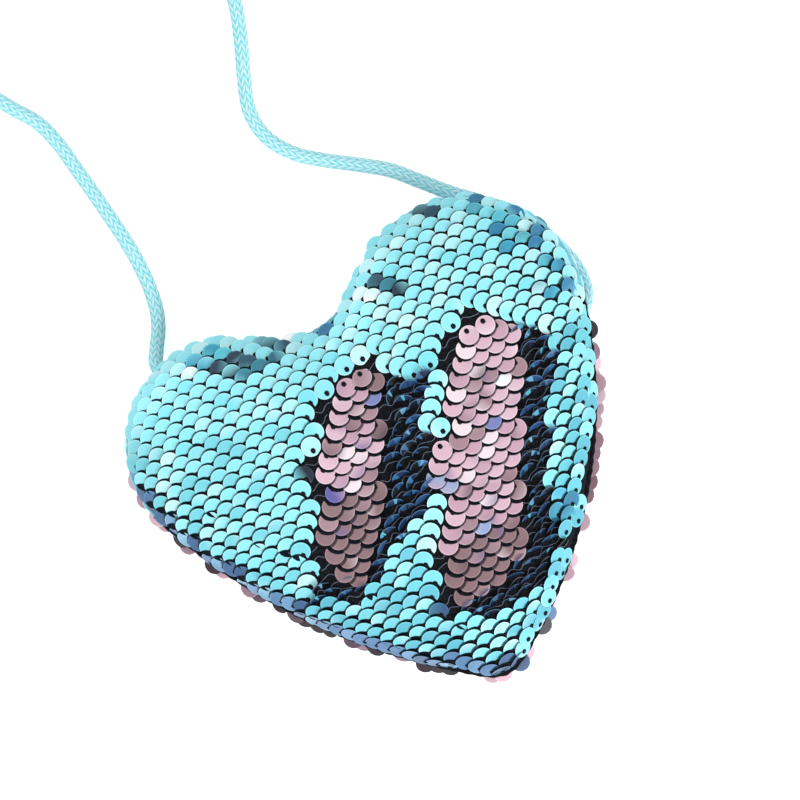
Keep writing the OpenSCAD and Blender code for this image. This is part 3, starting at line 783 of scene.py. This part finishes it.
def leanLook(look, rnd, x, below):
    u, v, n = look["u"], look["v"], look["n"]
    lean = clamp((rimLean["steep"] - n[2]) / rimLean["over"])
    if lean:
        look["lift"] += lean * (0.2 + 0.8 * max(0, -np.dot(v, outwardOf(n)))) * (0.4 if below else 1)
        look["tilt"] *= 1 - 0.9 * lean
        axis, degrees = np.cross(n, (0, 0, 1)), rimLean["lowDegrees" if below else "degrees"] * lean
        look.update(u=turned(u, axis, degrees), v=turned(v, axis, degrees), n=turned(n, axis, degrees))
        # the haze row: blue-grey painted reflections along the low rim, with a wide painted shadow
        if below and n[2] < rimLean["hazeSteep"]:
            look.update(pick=rnd.choice(tints["haze"]), second=tints["night"][1], amount=0.5 * rnd.random(),
                        tilt=4, wide=1.5)
        elif below and x < 330 and n[2] < rimLean["lowSteep"] and rnd.random() < 0.6:
            look.update(pick=rnd.choice(tints["low"]), second=tints["sea"][2], amount=0.7)
    # a share of the sequins gets a painted glint
    if look["amount"] == 0 and rnd.random() < 0.35:
        look["amount"] = rnd.random() * 0.5


def sequinLook(spot, state, rnd):  # how one sequin lies, its tints with their painted reflections, and how wide the painted shadow along its overlaps is
    x, y = spot["px"]
    below = y > 480 and x < 520
    # second is the tint of the painted glint, a pale glare unless set otherwise, and amount is how strongly the glint
    # shows
    look = dict(tilt=9 + rnd.gauss(0, 1.2), roll=2.6 + rnd.gauss(0, 0.8), lift=0.1, spin=2.5, amount=0.0,
                u=spot["u"], v=spot["v"], n=spot["n"], second=colour(214, 246, 248), window=None, under=None)
    # wide: how wide the painted shadow under overlapping sequins is, wider to the right and lower down
    look["wide"] = 0.45 + 0.3 * clamp((x - 330) / 130) + 0.35 * clamp((y - 330) / 200) + rnd.random() * 0.25
    if state == "back":
        backLook(look, rnd, spot)
    elif state == "pink":
        pinkLook(look, rnd, x, y)
    elif state == "edge":
        edgeLook(look, rnd)
    else:
        blueLook(look, rnd, x, y)
        leanLook(look, rnd, x, below)
    # the painted shadow fades where the cloth turns steep, except in the low rows
    look["wide"] *= 1 if below else clamp((spot["n"][2] - 0.8) / 0.1)
    return look


def laidAxes(look, rnd):
    u, v, n = look["u"], look["v"], look["n"]
    v, n = turned(v, u, look["tilt"]), turned(n, u, look["tilt"])
    u, n = turned(u, v, look["roll"]), turned(n, v, look["roll"])
    spin = rnd.gauss(0, look["spin"])
    return turned(u, n, spin), turned(v, n, spin), n


def buildSequins(name, side, spots, seed, skin):
    rnd = random.Random(seed)
    points, faces, where, holes, bareHoles, states = [], [], [], [], [], {}
    painted = dict(tintA=[], tintB=[], glint=[], shadowWidth=[])
    for s in spots:
        s["px"] = inPicture(s["p"][0], s["p"][1])
        states[(s["row"], s["col"])] = stateAt(*s["px"]) if side == "front" else "back"
    for s in spots:
        state = states[(s["row"], s["col"])]
        base = np.array(skin.find_nearest(Vector(s["p"] * mm))[0]) / mm
        if state in ("bare", "edge"):
            bareHoles.append((s["row"], s["col"], base, s["n"]))
        if state == "bare":
            if rnd.random() < 0.08:
                holes.append((base + s["n"] * 0.1, s["u"], s["v"], s["n"]))
            continue
        look = sequinLook(s, state, rnd)
        u, v, n = laidAxes(look, rnd)
        base = base + s["n"] * look["lift"]
        local = inAxes(discPoints, base, u, v, n)
        if side == "back":
            local[:, 2] = np.maximum(local[:, 2], disc["lowest"])
        holes.append((base + n * 0.1, u, v, n))
        start = len(points) * len(discPoints)
        points.append(local)
        faces.extend([tuple(start + i for i in f) for f in discFaces])
        flipped = state == "pink"
        under = look["under"] or rnd.choice(tints["blue" if flipped else "pink"])
        # the side faces are painted dark as shade along each sequin's edge
        tops = (look["pick"], under, tints["paintedSideShade"][flipped])
        angle = rnd.random() * 2 * math.pi
        beside = neighbourStates(states, s["row"], s["col"], not flipped)
        kindSame = ("pink",) if flipped else ("blue", "back")
        # painted shadow only where a sequin of the same kind lies over this one
        shadowWidth = [look["wide"] if b in kindSame else 0.0 for b in (beside[::-1] if flipped else beside)]
        for f, kind in zip(discFaces, discKinds):
            outer, window = kind == 0, look["window"]
            shown = window and outer and windowTint(window, f) or tops[kind]
            painted["tintA"].append(shown)
            painted["tintB"].append(look["second"] if outer and not window else shown)
            painted["glint"].append((math.cos(angle), math.sin(angle), look["amount"]) if outer else (1, 0, 0))
            painted["shadowWidth"].append((*shadowWidth, 0) if outer else (0, 0, 0))
            where.extend([(discPoints[i][0], discPoints[i][1]) for i in f])
    obj = meshPiece(name, np.concatenate(points) * mm, faces, smooth=False)
    for label, values in painted.items():
        kind, key = ("FLOAT_COLOR", "color") if label.startswith("tint") else ("FLOAT_VECTOR", "vector")
        made = obj.data.attributes.new(label, kind, "FACE")
        made.data.foreach_set(key, np.array(values, np.float32).ravel())
    obj.data.uv_layers.new(name="disc").data.foreach_set("uv", np.array(where, np.float32).ravel())
    return obj, holes, bareHoles


def overlapShadowParts(tree, into):  # painted shadow: the dark line along the free edge of a sequin that lies over this one
    off = addNode(tree, "ShaderNodeVectorMath", {0: into["Place"], 1: into["Centre"]}, operation="SUBTRACT")["Vector"]
    far = addNode(tree, "ShaderNodeVectorMath", {0: off}, operation="LENGTH")["Value"]
    nearer = calc(tree, "MULTIPLY_ADD", into["Cover"], -0.34, far)
    band = remap(tree, nearer, disc["r"] - 0.02, disc["r"] + 0.24, 1.0, 0.0, interpolation_type="SMOOTHSTEP")
    return {"Shade": calc(tree, "MULTIPLY", band, calc(tree, "GREATER_THAN", into["Cover"], 0.1))}


def ringParts(tree, into):  # masks of the sequin's painted highlight on its lip and painted shade along its rim
    return {label: remap(tree, into["Length"], disc["r"] * low, disc["r"] * high)
            for label, low, high in (("LipHighlight", 0.85, 0.93), ("RimShade", 0.95, 0.985))}


overlapShadow = newEffect("overlapShadow", dict(Place="Vector", Centre="Vector", Cover="Float"), dict(Shade="Float"),
                      overlapShadowParts)
ring = newEffect("ring", dict(Length="Float"), dict(LipHighlight="Float", RimShade="Float"), ringParts)


def sequinMaterial():
    made, tree = newMaterial("sequinFoil")
    first, second = [addNode(tree, "ShaderNodeAttribute", attribute_name=k)["Color"] for k in ("tintA", "tintB")]
    written = [addNode(tree, "ShaderNodeAttribute", attribute_name=k)["Vector"] for k in ("glint", "shadowWidth")]
    glint, shadowWidth = [addNode(tree, "ShaderNodeSeparateXYZ", {"Vector": k}) for k in written]
    place = addNode(tree, "ShaderNodeUVMap", uv_map="disc")["UV"]
    centred = addNode(tree, "ShaderNodeVectorMath", {0: place, 1: (0, -disc["off"], 0)}, operation="ADD")["Vector"]
    spread = addNode(tree, "ShaderNodeSeparateXYZ", {"Vector": centred})
    # painted glint: the colour runs from the first tint to the second across the sequin
    along = calc(tree, "MULTIPLY_ADD", spread["Y"], glint["Y"], calc(tree, "MULTIPLY", spread["X"], glint["X"]))
    body = mixColour(tree, first, second, calc(tree, "MULTIPLY", remap(tree, along, -0.8, 2.4), glint["Z"]))
    # painted shadow along the free edges of the two sequins that lie over this one
    shades = []
    for axis, x, strength in (("X", 0.5, 1.0), ("Y", -0.5, 0.8)):
        centre = (x * -lattice["pitch"], disc["off"] - lattice["row"], 0)
        one = use(tree, overlapShadow, Place=place, Centre=centre, Cover=shadowWidth[axis])["Shade"]
        shades.append(calc(tree, "MULTIPLY", one, strength))
    shade = calc(tree, "MAXIMUM", *shades)
    rings = use(tree, ring, Length=addNode(tree, "ShaderNodeVectorMath", {0: centred}, operation="LENGTH")["Value"])
    speck = use(tree, grain, Place=objectPlace(tree), Scale=700.0)["Fine"]
    # painted highlight on the lip, in pale blue on standing sequins, and painted shade as a dark line along the rim
    lit = mixColour(tree, body, (1, 1, 1, 1), calc(tree, "MULTIPLY", rings["LipHighlight"], 0.75), "SOFT_LIGHT")
    standing = calc(tree, "MULTIPLY", calc(tree, "LESS_THAN", glint["Z"], -0.5), 0.75)
    outlined = mixColour(tree, lit, colour(98, 146, 188), calc(tree, "MULTIPLY", rings["LipHighlight"], standing))
    edged = mixColour(tree, outlined, colour(16, 34, 44), calc(tree, "MULTIPLY", rings["RimShade"], 0.7))
    # the painted shadow darkens the colour and dulls the specular
    return shaded(made, {"Base Color": mixColour(tree, edged, colour(10, 20, 28), shade), "Metallic": 0.2,
                         "Roughness": remap(tree, speck, toLow=0.28, toHigh=0.48),
                         "Specular IOR Level": remap(tree, shade, toLow=0.5, toHigh=0.05)}, speck, 0.00002)


def frontMargin(p):
    angle = degreesAt(p[0], p[1])
    crown = min(1, max(0, (angle - 46) / 8), max(0, (76 - angle) / 8))
    notch = clamp(min((angle - 80) / 3, (105 - angle) / 4))  # the satin shows in the notch
    side = clamp(min((angle - 300) / 8, (354 - angle) / 8))  # and the knit on the right
    return 0.3 + 1.7 * crown + 3.6 * notch + 1.7 * side


foil = sequinMaterial()
thread = fibreMaterial("blackThread", colour(6, 6, 9), colour(24, 25, 30), 2400.0, 0.8, 0.0001, 0.15)
knot = dict(r=0.72, off=0.2, flat=0.5)


def knotPiece(name, holes):
    ball = bmesh.new()
    bmesh.ops.create_icosphere(ball, subdivisions=1, radius=knot["r"])
    form = np.array([v.co for v in ball.verts])
    shape = [tuple(v.index for v in f.verts) for f in ball.faces]
    ball.free()
    points, faces = [], []
    for base, u, v, n in holes:
        start = len(points) * len(form)
        points.append(inAxes(form, base + v * knot["off"], u, v, n * knot["flat"]))
        faces.extend([tuple(start + i for i in f) for f in shape])
    cloud = np.concatenate(points)
    cloud[:, 2] = np.maximum(cloud[:, 2], disc["lowest"])
    return meshPiece(name, cloud * mm, faces)


trees, holes, bareHoles = {}, {}, {}
for side, margin, seed, nodes in (("front", frontMargin, 5, ("front_sequins", "flap_sequins")),
                                  ("back", lambda p: 0.5, 9, ("back_sequins",))):
    trees[side] = BVHTree.FromPolygons([Vector(p * mm) for p in skins[side]], gridFaces(0, side == "back"))
    spots = latticePoints(side, depths["cloth"][0], margin)
    sequins, holes[side], bareHoles[side] = buildSequins(side + "Sequins", side, spots, seed, trees[side])
    dress(sequins, "sequins", foil)
    hold(sequins, side)
    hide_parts(*nodes)
    print(side, "sequins", len(holes[side]))
for side in holes:
    knots = knotPiece(side + "Knots", holes[side])
    dress(knots, "sequin_knit", thread)
    hold(knots, side)


def smoothLine(points, step):
    p = np.array(points, float)
    p = np.concatenate([[2 * p[0] - p[1]], p, [2 * p[-1] - p[-2]]])
    dense = []
    for i in range(1, len(p) - 2):
        t = np.linspace(0, 1, 24, endpoint=False)[:, None]
        a, b, c, d = p[i - 1:i + 3]
        dense.append(0.5 * (2 * b + (c - a) * t + (2 * a - 5 * b + 4 * c - d) * t ** 2
                            + (3 * b - a - 3 * c + d) * t ** 3))
    dense = np.concatenate(dense + [p[-2:-1]])
    lengths = lengthsAlong(np.linalg.norm(np.diff(dense, axis=0), axis=1))
    at = np.linspace(0, lengths[-1], int(lengths[-1] / step) + 1)
    return np.stack([np.interp(at, lengths, dense[:, i]) for i in range(3)], 1), lengths[-1]


threadForm = dict(r=0.13, step=0.45, past=2.6, turns=(0, 1.57, 3.14, 4.71))


def holeRuns(bareHoles):  # holes that follow each other in a row
    rows, runs = {}, []
    for row, col, base, n in bareHoles:
        rows.setdefault(row, []).append((col, base, n))
    for row in sorted(rows):
        last = None
        for col, base, n in sorted(rows[row], key=lambda k: k[0]):
            if last is None or col != last + 1:
                runs.append([])
            runs[-1].append((base, n))
            last = col
    return runs


def threadPiece(name, bareHoles, skin, seed):
    rnd = random.Random(seed)
    points, faces = [], []
    for run in holeRuns(bareHoles):
        ahead = unit(run[-1][0] - run[0][0] if len(run) > 1 else np.array([1.0, 0.08, 0]))
        past = ahead * threadForm["past"]
        line, _ = smoothLine([run[0][0] - past] + [b for b, n in run] + [run[-1][0] + past], threadForm["step"])
        side = unit(np.cross(run[0][1], ahead))
        phase, wave = rnd.random() * 6.3, 2.2 + rnd.random() * 0.6
        path = []
        for i, p in enumerate(line):
            s = i * threadForm["step"]
            p = p + side * (0.55 * math.sin(phase + s * 2 * math.pi / wave / 2) + 0.2 * math.sin(s * 2.1 + phase * 3))
            hit = skin.find_nearest(Vector(p * mm))
            path.append(np.array(hit[0]) / mm + np.array(hit[1]) * 0.1)
        start, count = len(points), len(path)
        for k, p in enumerate(path):
            d = path[min(k + 1, count - 1)] - path[max(k - 1, 0)]
            a = unit(np.cross([0, 0, 1], d))
            b = np.cross(unit(d), a)
            points += [p + (a * math.cos(t) + b * math.sin(t)) * threadForm["r"] for t in threadForm["turns"]]
        faces += tubeFaces(count, 4, start)
        faces += [tuple(start + j for j in (3, 2, 1, 0)), tuple(start + 4 * (count - 1) + j for j in range(4))]
    return meshPiece(name, np.array(points) * mm, faces)


# Cord strap: its line runs over the floor to a coil that lies outside the picture, and back. A place without a height
# lies on the floor
strap = dict(
    d=3.6, sides=30, step=0.42, wales=6, stitch=2.1, slope=1.0,
    left=((-42.1, 47.8, 7.2), (-43, 51.6, 6), (-41.3, 55.3, 3.6), (-38.8, 59.5, 2.1), (-37, 64), (-35.9, 70),
          (-35.6, 77), (-36, 84), (-36.8, 91), (-37.7, 98), (-38.7, 105), (-39.7, 112), (-42, 119.5), (-46.3, 126),
          (-50, 133), (-52, 141.5), (-52.4, 151), (-52, 160.5), (-51.5, 169.5)),
    right=((1.5, 169.5, 5.9), (3.6, 161, 4.4), (7.6, 153, 2.6), (11.8, 145.5), (15.2, 138), (16.8, 130), (15.4, 122),
           (12.4, 113.5), (8.9, 105), (6.6, 97.5), (7.4, 90), (11.6, 83.3), (18, 78), (24.8, 73.3), (31.2, 68.5),
           (36.8, 62.4), (42, 56.6), (47.2, 51.6), (52.2, 45.8), (56.8, 39.6), (59.8, 33), (61.6, 26.4, 1.9),
           (61.4, 20.6, 3.2), (59.4, 16.6, 5.6), (56.3, 14.7, 7)),
    coilCentre=(-25, 181), coilR=26.5, pitch=4.1, turns=3.25, climb=4.1, coilSteps=24,
)


def onFloor(points):
    return [(*p, strap["d"] / 2)[:3] for p in points]


def coilPoint(t):
    a = math.radians(180 - 360 * t)
    r = strap["coilR"] - strap["pitch"] * (strap["turns"] - abs(t - strap["turns"]))
    z = strap["d"] / 2 + strap["climb"] * clamp(0.5 + (t - strap["turns"]) * 2)
    return (strap["coilCentre"][0] + r * math.cos(a), strap["coilCentre"][1] + r * math.sin(a), z)


def ropeTube(name, line, radius, sides, relief):
    ahead = np.gradient(line, axis=0)
    ahead /= np.linalg.norm(ahead, axis=1, keepdims=True)
    across = np.zeros_like(line)
    side = np.cross([0, 0, 1], ahead[0])
    for i, d in enumerate(ahead):
        side = unit(side - d * np.dot(side, d))
        across[i] = side
    up = np.cross(ahead, across)
    run = lengthsAlong(np.linalg.norm(np.diff(line, axis=0), axis=1))
    turns = np.linspace(0, 2 * math.pi, sides, endpoint=False)
    n, points = len(line), []
    for i in range(n):
        r = radius + relief(run[i], turns)
        points.append(line[i] + (np.cos(turns) * r)[:, None] * across[i] + (np.sin(turns) * r)[:, None] * up[i])
    faces = [tuple(range(sides))[::-1], tuple((n - 1) * sides + j for j in range(sides))] + tubeFaces(n, sides)
    uvs = [(0, 0)] * (2 * sides)
    for i in range(n - 1):
        for j in range(sides):
            a, b = j / sides, (j + 1) / sides
            uvs += [(a, run[i]), (b, run[i]), (b, run[i + 1]), (a, run[i + 1])]
    obj = meshPiece(name, np.concatenate(points) * mm, faces)
    obj.data.uv_layers.new(name="run").data.foreach_set("uv", np.array(uvs, np.float32).ravel())
    return obj


def stitchRelief(run, turns):
    u = np.abs((turns / (2 * math.pi) * strap["wales"]) % 1 * 2 - 1)
    v = (run / strap["stitch"] - strap["slope"] * u) % 1
    return 0.22 * np.sin(math.pi * v) ** 0.7 * np.sin(math.pi * (0.06 + 0.88 * u)) ** 0.5 - 0.1


coil = [coilPoint(i / strap["coilSteps"]) for i in range(int(round(2 * strap["turns"] * strap["coilSteps"])) + 1)]
strapLine, strapLength = smoothLine(onFloor(strap["left"]) + coil[1:] + onFloor(strap["right"]), strap["step"])
strapCord = ropeTube("strapCord", strapLine, strap["d"] / 2, strap["sides"], stitchRelief)
print("strap length", round(strapLength, 1))


def braidParts(tree, into):  # slanted stitches in columns, mirrored at each column's middle
    spread = addNode(tree, "ShaderNodeSeparateXYZ", {"Vector": into["Run"]})
    part = calc(tree, "FRACT", calc(tree, "MULTIPLY", spread["X"], float(strap["wales"])))
    away = calc(tree, "ABSOLUTE", calc(tree, "MULTIPLY_ADD", part, 2.0, -1.0))
    run = calc(tree, "MULTIPLY", spread["Y"], 1 / strap["stitch"])
    along = calc(tree, "MULTIPLY_ADD", away, -strap["slope"], run)
    waves = [calc(tree, "ABSOLUTE", calc(tree, "SINE", calc(tree, "MULTIPLY", v, math.pi))) for v in (along, away)]
    return {"Height": calc(tree, "MULTIPLY", waves[0], calc(tree, "POWER", waves[1], 0.4))}


braid = newEffect("braid", dict(Run="Vector"), dict(Height="Float"), braidParts)


def cordMaterial():
    made, tree = newMaterial("cordBraid")
    stitch = use(tree, braid, Run=addNode(tree, "ShaderNodeUVMap", uv_map="run")["UV"])["Height"]
    fine = use(tree, grain, Place=objectPlace(tree), Scale=1400.0)["Fine"]
    # painted light: the stitch tops are painted pale as a highlight and the gaps between stitches darker as shade
    ramp = tree.nodes.new("ShaderNodeValToRGB")
    wire(tree, ramp, {"Fac": stitch})
    stops = ramp.color_ramp.elements
    stops.new(0.45)
    for stop, (place, shade) in zip(stops, ((0.0, (96, 200, 218)), (0.45, (146, 226, 236)), (0.85, (208, 246, 248)))):
        stop.position, stop.color = place, colour(*shade)
    pale = remap(tree, fine, 0.5, 0.75, toHigh=0.5)
    return shaded(made, {"Base Color": mixColour(tree, ramp.outputs["Color"], colour(236, 251, 252), pale),
                         "Roughness": 0.55, "Sheen Weight": 0.25},
                  calc(tree, "MULTIPLY_ADD", stitch, 0.6, fine), 0.00012)


dress(strapCord, "cord", cordMaterial())
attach(strapCord, "purse")
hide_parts("strap_left", "strap_coil", "strap_right")

threads = threadPiece("rowThreads", bareHoles["front"], trees["front"], 3)
rowThread = fibreMaterial("rowThread", colour(104, 112, 132), colour(40, 44, 56), 1800.0, 0.5, 0.0001)
dress(threads, "sequin_knit", rowThread)
bendWithFlap(threads)

lapForm = dict(inner=21.75, outer=29.0, low=11.8, high=12.6, steps=200, wobble=0.12)
floorForm = dict(inner=21.75, outer=25.6, low=3.8, high=4.6, steps=160, wobble=0.0)


def ringSector(name, form, bulge=0.25):  # a rounded strip swept about the right lobe's middle
    r0, r1, z0, z1 = form["inner"], form["outer"], form["low"], form["high"]
    profile = ((r0, z0), (r1 - bulge, z0), (r1, z0 + bulge), (r1, z1 - bulge), (r1 - bulge, z1), (r0, z1))
    a0, sweep, steps = zipRoom["start"], zipRoom["end"] - zipRoom["start"], form["steps"]
    made = bmesh.new()
    start = Matrix.Rotation(math.radians(a0), 4, "Z")
    verts = [made.verts.new(start @ Vector((r, 0, z))) for r, z in profile]
    edges = [made.edges.new(pair) for pair in zip(verts, verts[1:] + verts[:1])]
    bmesh.ops.spin(made, geom=verts + edges, cent=(0, 0, 0), axis=(0, 0, 1), angle=math.radians(sweep), steps=steps,
                   use_merge=False)
    bmesh.ops.holes_fill(made, edges=made.edges, sides=0)
    bmesh.ops.recalc_face_normals(made, faces=made.faces)
    for v in made.verts:
        along = (math.degrees(math.atan2(v.co.y, v.co.x)) - a0) / sweep * steps
        share = 1 + form["wobble"] * math.sin(along * 1.7) * math.sin(along * 0.31) / v.co.xy.length
        v.co.x *= share
        v.co.y *= share
    bmesh.ops.translate(made, verts=made.verts, vec=(*heart["rightLobe"], 0))
    bmesh.ops.scale(made, verts=made.verts, vec=(mm, mm, mm))
    return bmeshPiece(name, made)


satinLap, satinFloor = ringSector("satinLap", lapForm), ringSector("satinFloor", floorForm)
dress(satinLap, "satin", satin)
dress(satinFloor, "satin", satin)
bendWithFlap(satinLap)
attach(satinFloor, "purse")
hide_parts("zip_lap", "zip_lap_ends")
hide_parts("zip_floor")

# Band in the seam, its profile as depth under the outline and height; satin on top of the heart and knit below
band = dict(
    steps=720, satinFrom=28, satinTo=165,
    profile=((3.2, 9.4), (-0.3, 9.35), (-0.6, 9.9), (-0.7, 10.5), (-0.6, 11.1), (-0.3, 11.65), (3.2, 11.6)),
)


def endsClosed(b):
    bmesh.ops.delete(b, geom=[v for v in b.verts if not v.link_faces], context="VERTS")
    bmesh.ops.holes_fill(b, edges=b.edges, sides=0)


def seamPiece(name):
    n = band["steps"]
    a = np.linspace(0, 2 * math.pi, n, endpoint=False)
    reach = reachAt(a)
    points = []
    for i in range(n):
        w = 0.12 * math.sin(a[i] * 118) + 0.05 * math.sin(a[i] * 47)
        for t, z in band["profile"]:
            r = reach[i] * (1 - (t - (w if t < 1 else 0)) / heart["halfWidth"])
            points.append((middle[0] + r * math.cos(a[i]), middle[1] + r * math.sin(a[i]), z))
    points = np.array(points)
    share = zipShare(points) > 0.5
    keep = [f[::-1] for f in tubeFaces(n, len(band["profile"]), closed=True) if not all(share[i] for i in f)]
    obj = meshPiece(name, points * mm, keep)
    reworked(obj, endsClosed)
    return obj


seam = seamPiece("seamBand")
dress(seam, "satin", satin, knit)
for face in seam.data.polygons:
    onTop = band["satinFrom"] < degreesAt(face.center[0] / mm, face.center[1] / mm) < band["satinTo"]
    face.material_index = 0 if onTop else 1
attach(seam, "purse")
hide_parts("seam_band")
print("seam and lap done")


def metalMaterial(name, base, worn, scale):
    made, tree = newMaterial(name)
    place = objectPlace(tree)
    drawn = addNode(tree, "ShaderNodeMapping", {"Vector": place, "Scale": (1, 14, 1)})["Vector"]
    brushed = use(tree, grain, Place=drawn, Scale=scale)["Fine"]
    wear = use(tree, grain, Place=place, Scale=scale / 2)
    dull = calc(tree, "MULTIPLY_ADD", brushed, 0.6, wear["Broad"])
    return shaded(made, {"Base Color": toned(tree, base, worn, wear["Fine"], wear["Broad"], 0.2),
                         "Roughness": remap(tree, dull, 0.5, 1.1, 0.16, 0.44), "Metallic": 1}, brushed, 0.00002)


def mouldedMaterial(name, base, dark):
    made, tree = newMaterial(name)
    flow = use(tree, grain, Place=objectPlace(tree), Scale=800.0)
    return shaded(made, {"Base Color": toned(tree, base, dark, flow["Fine"], flow["Broad"], 0.35),
                         "Roughness": remap(tree, flow["Fine"], toLow=0.28, toHigh=0.5)}, flow["Fine"], 0.00003)


tape = clothMaterial("zipTape", colour(120, 200, 214), colour(64, 144, 162), 0.0005, 0.75, sheen=0.15)
teeth = mouldedMaterial("zipTeeth", colour(132, 214, 226), colour(100, 184, 202))
steel = metalMaterial("zipMetal", colour(208, 210, 214), colour(146, 148, 154), 1600.0)
for names, finish in ((("zip_back_tape", "zip_front_tape", "zip_front_tape_ends"), tape),
                      (("zip_back_teeth", "zip_front_teeth", "zip_front_teeth_ends"), teeth),
                      (("zip_top_stops", "zip_bottom_stop", "zip_slider", "zip_pull"), steel)):
    for name in names:
        dress(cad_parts[name], None, finish)

# Plain stage: pale floor and soft light
stage = dict(half=3.0, floor=-0.0002, glow=0.62, sky=0.6)


def seenWhite(tree):  # the camera, and what mirrors or lets it through, sees the ground and the sky as plain white
    ray = addNode(tree, "ShaderNodeLightPath")
    return calc(tree, "MAXIMUM", ray["Is Camera Ray"],
                calc(tree, "MAXIMUM", ray["Is Glossy Ray"], ray["Is Transmission Ray"]))


form = bmesh.new()
bmesh.ops.create_grid(form, x_segments=1, y_segments=1, size=stage["half"],
                      matrix=Matrix.Translation((0, 0, stage["floor"])))
floor = bmeshPiece("floor", form)
white, tree = newMaterial("floorWhite")
plain = addNode(tree, "ShaderNodeBsdfPrincipled", {"Base Color": (0.95, 0.95, 0.95, 1), "Roughness": 0.9,
                                                   "Specular IOR Level": 0})["BSDF"]
glow = addNode(tree, "ShaderNodeEmission", {"Color": (1, 1, 1, 1), "Strength": stage["glow"]})["Emission"]
both = addNode(tree, "ShaderNodeAddShader", {0: plain, 1: glow})["Shader"]
seen = addNode(tree, "ShaderNodeMixShader", {0: seenWhite(tree), 1: plain, 2: both})["Shader"]
addNode(tree, "ShaderNodeOutputMaterial", {"Surface": seen})
dress(floor, None, white)

scene = bpy.context.scene
scene.world = bpy.data.worlds.new("softSky")
scene.world.use_nodes = True
tree = scene.world.node_tree
wire(tree, tree.nodes["Background"], {"Color": (1, 1, 1, 1),
                                      "Strength": remap(tree, seenWhite(tree), toLow=stage["sky"])})
for name, place, size, power in (("keyLamp", (0.25, -0.7, 0.6), 0.45, 6.0), ("fillLamp", (-0.5, 0.5, 0.8), 0.7, 3.3)):
    lamp = bpy.data.lights.new(name, "AREA")
    lamp.size, lamp.energy = size, power
    obj = bpy.data.objects.new(name, lamp)
    obj.location = place
    obj.rotation_euler = (Vector((0, 0, 0)) - Vector(place)).to_track_quat("-Z", "Y").to_euler()
    scene.collection.objects.link(obj)

shot = dict(sensor=36, lens=128.8, place=(0.00705, 0.01604, 0.72), turn=-27.24, pixels=800)
camera = bpy.data.cameras.new("camera")
camera.sensor_width, camera.lens = shot["sensor"], shot["lens"]
cameraObject = bpy.data.objects.new("camera", camera)
cameraObject.location = shot["place"]
cameraObject.rotation_euler = (0, 0, math.radians(shot["turn"]))
scene.collection.objects.link(cameraObject)
scene.camera = cameraObject
scene.render.resolution_x = scene.render.resolution_y = shot["pixels"]
scene.view_settings.view_transform = "Standard"
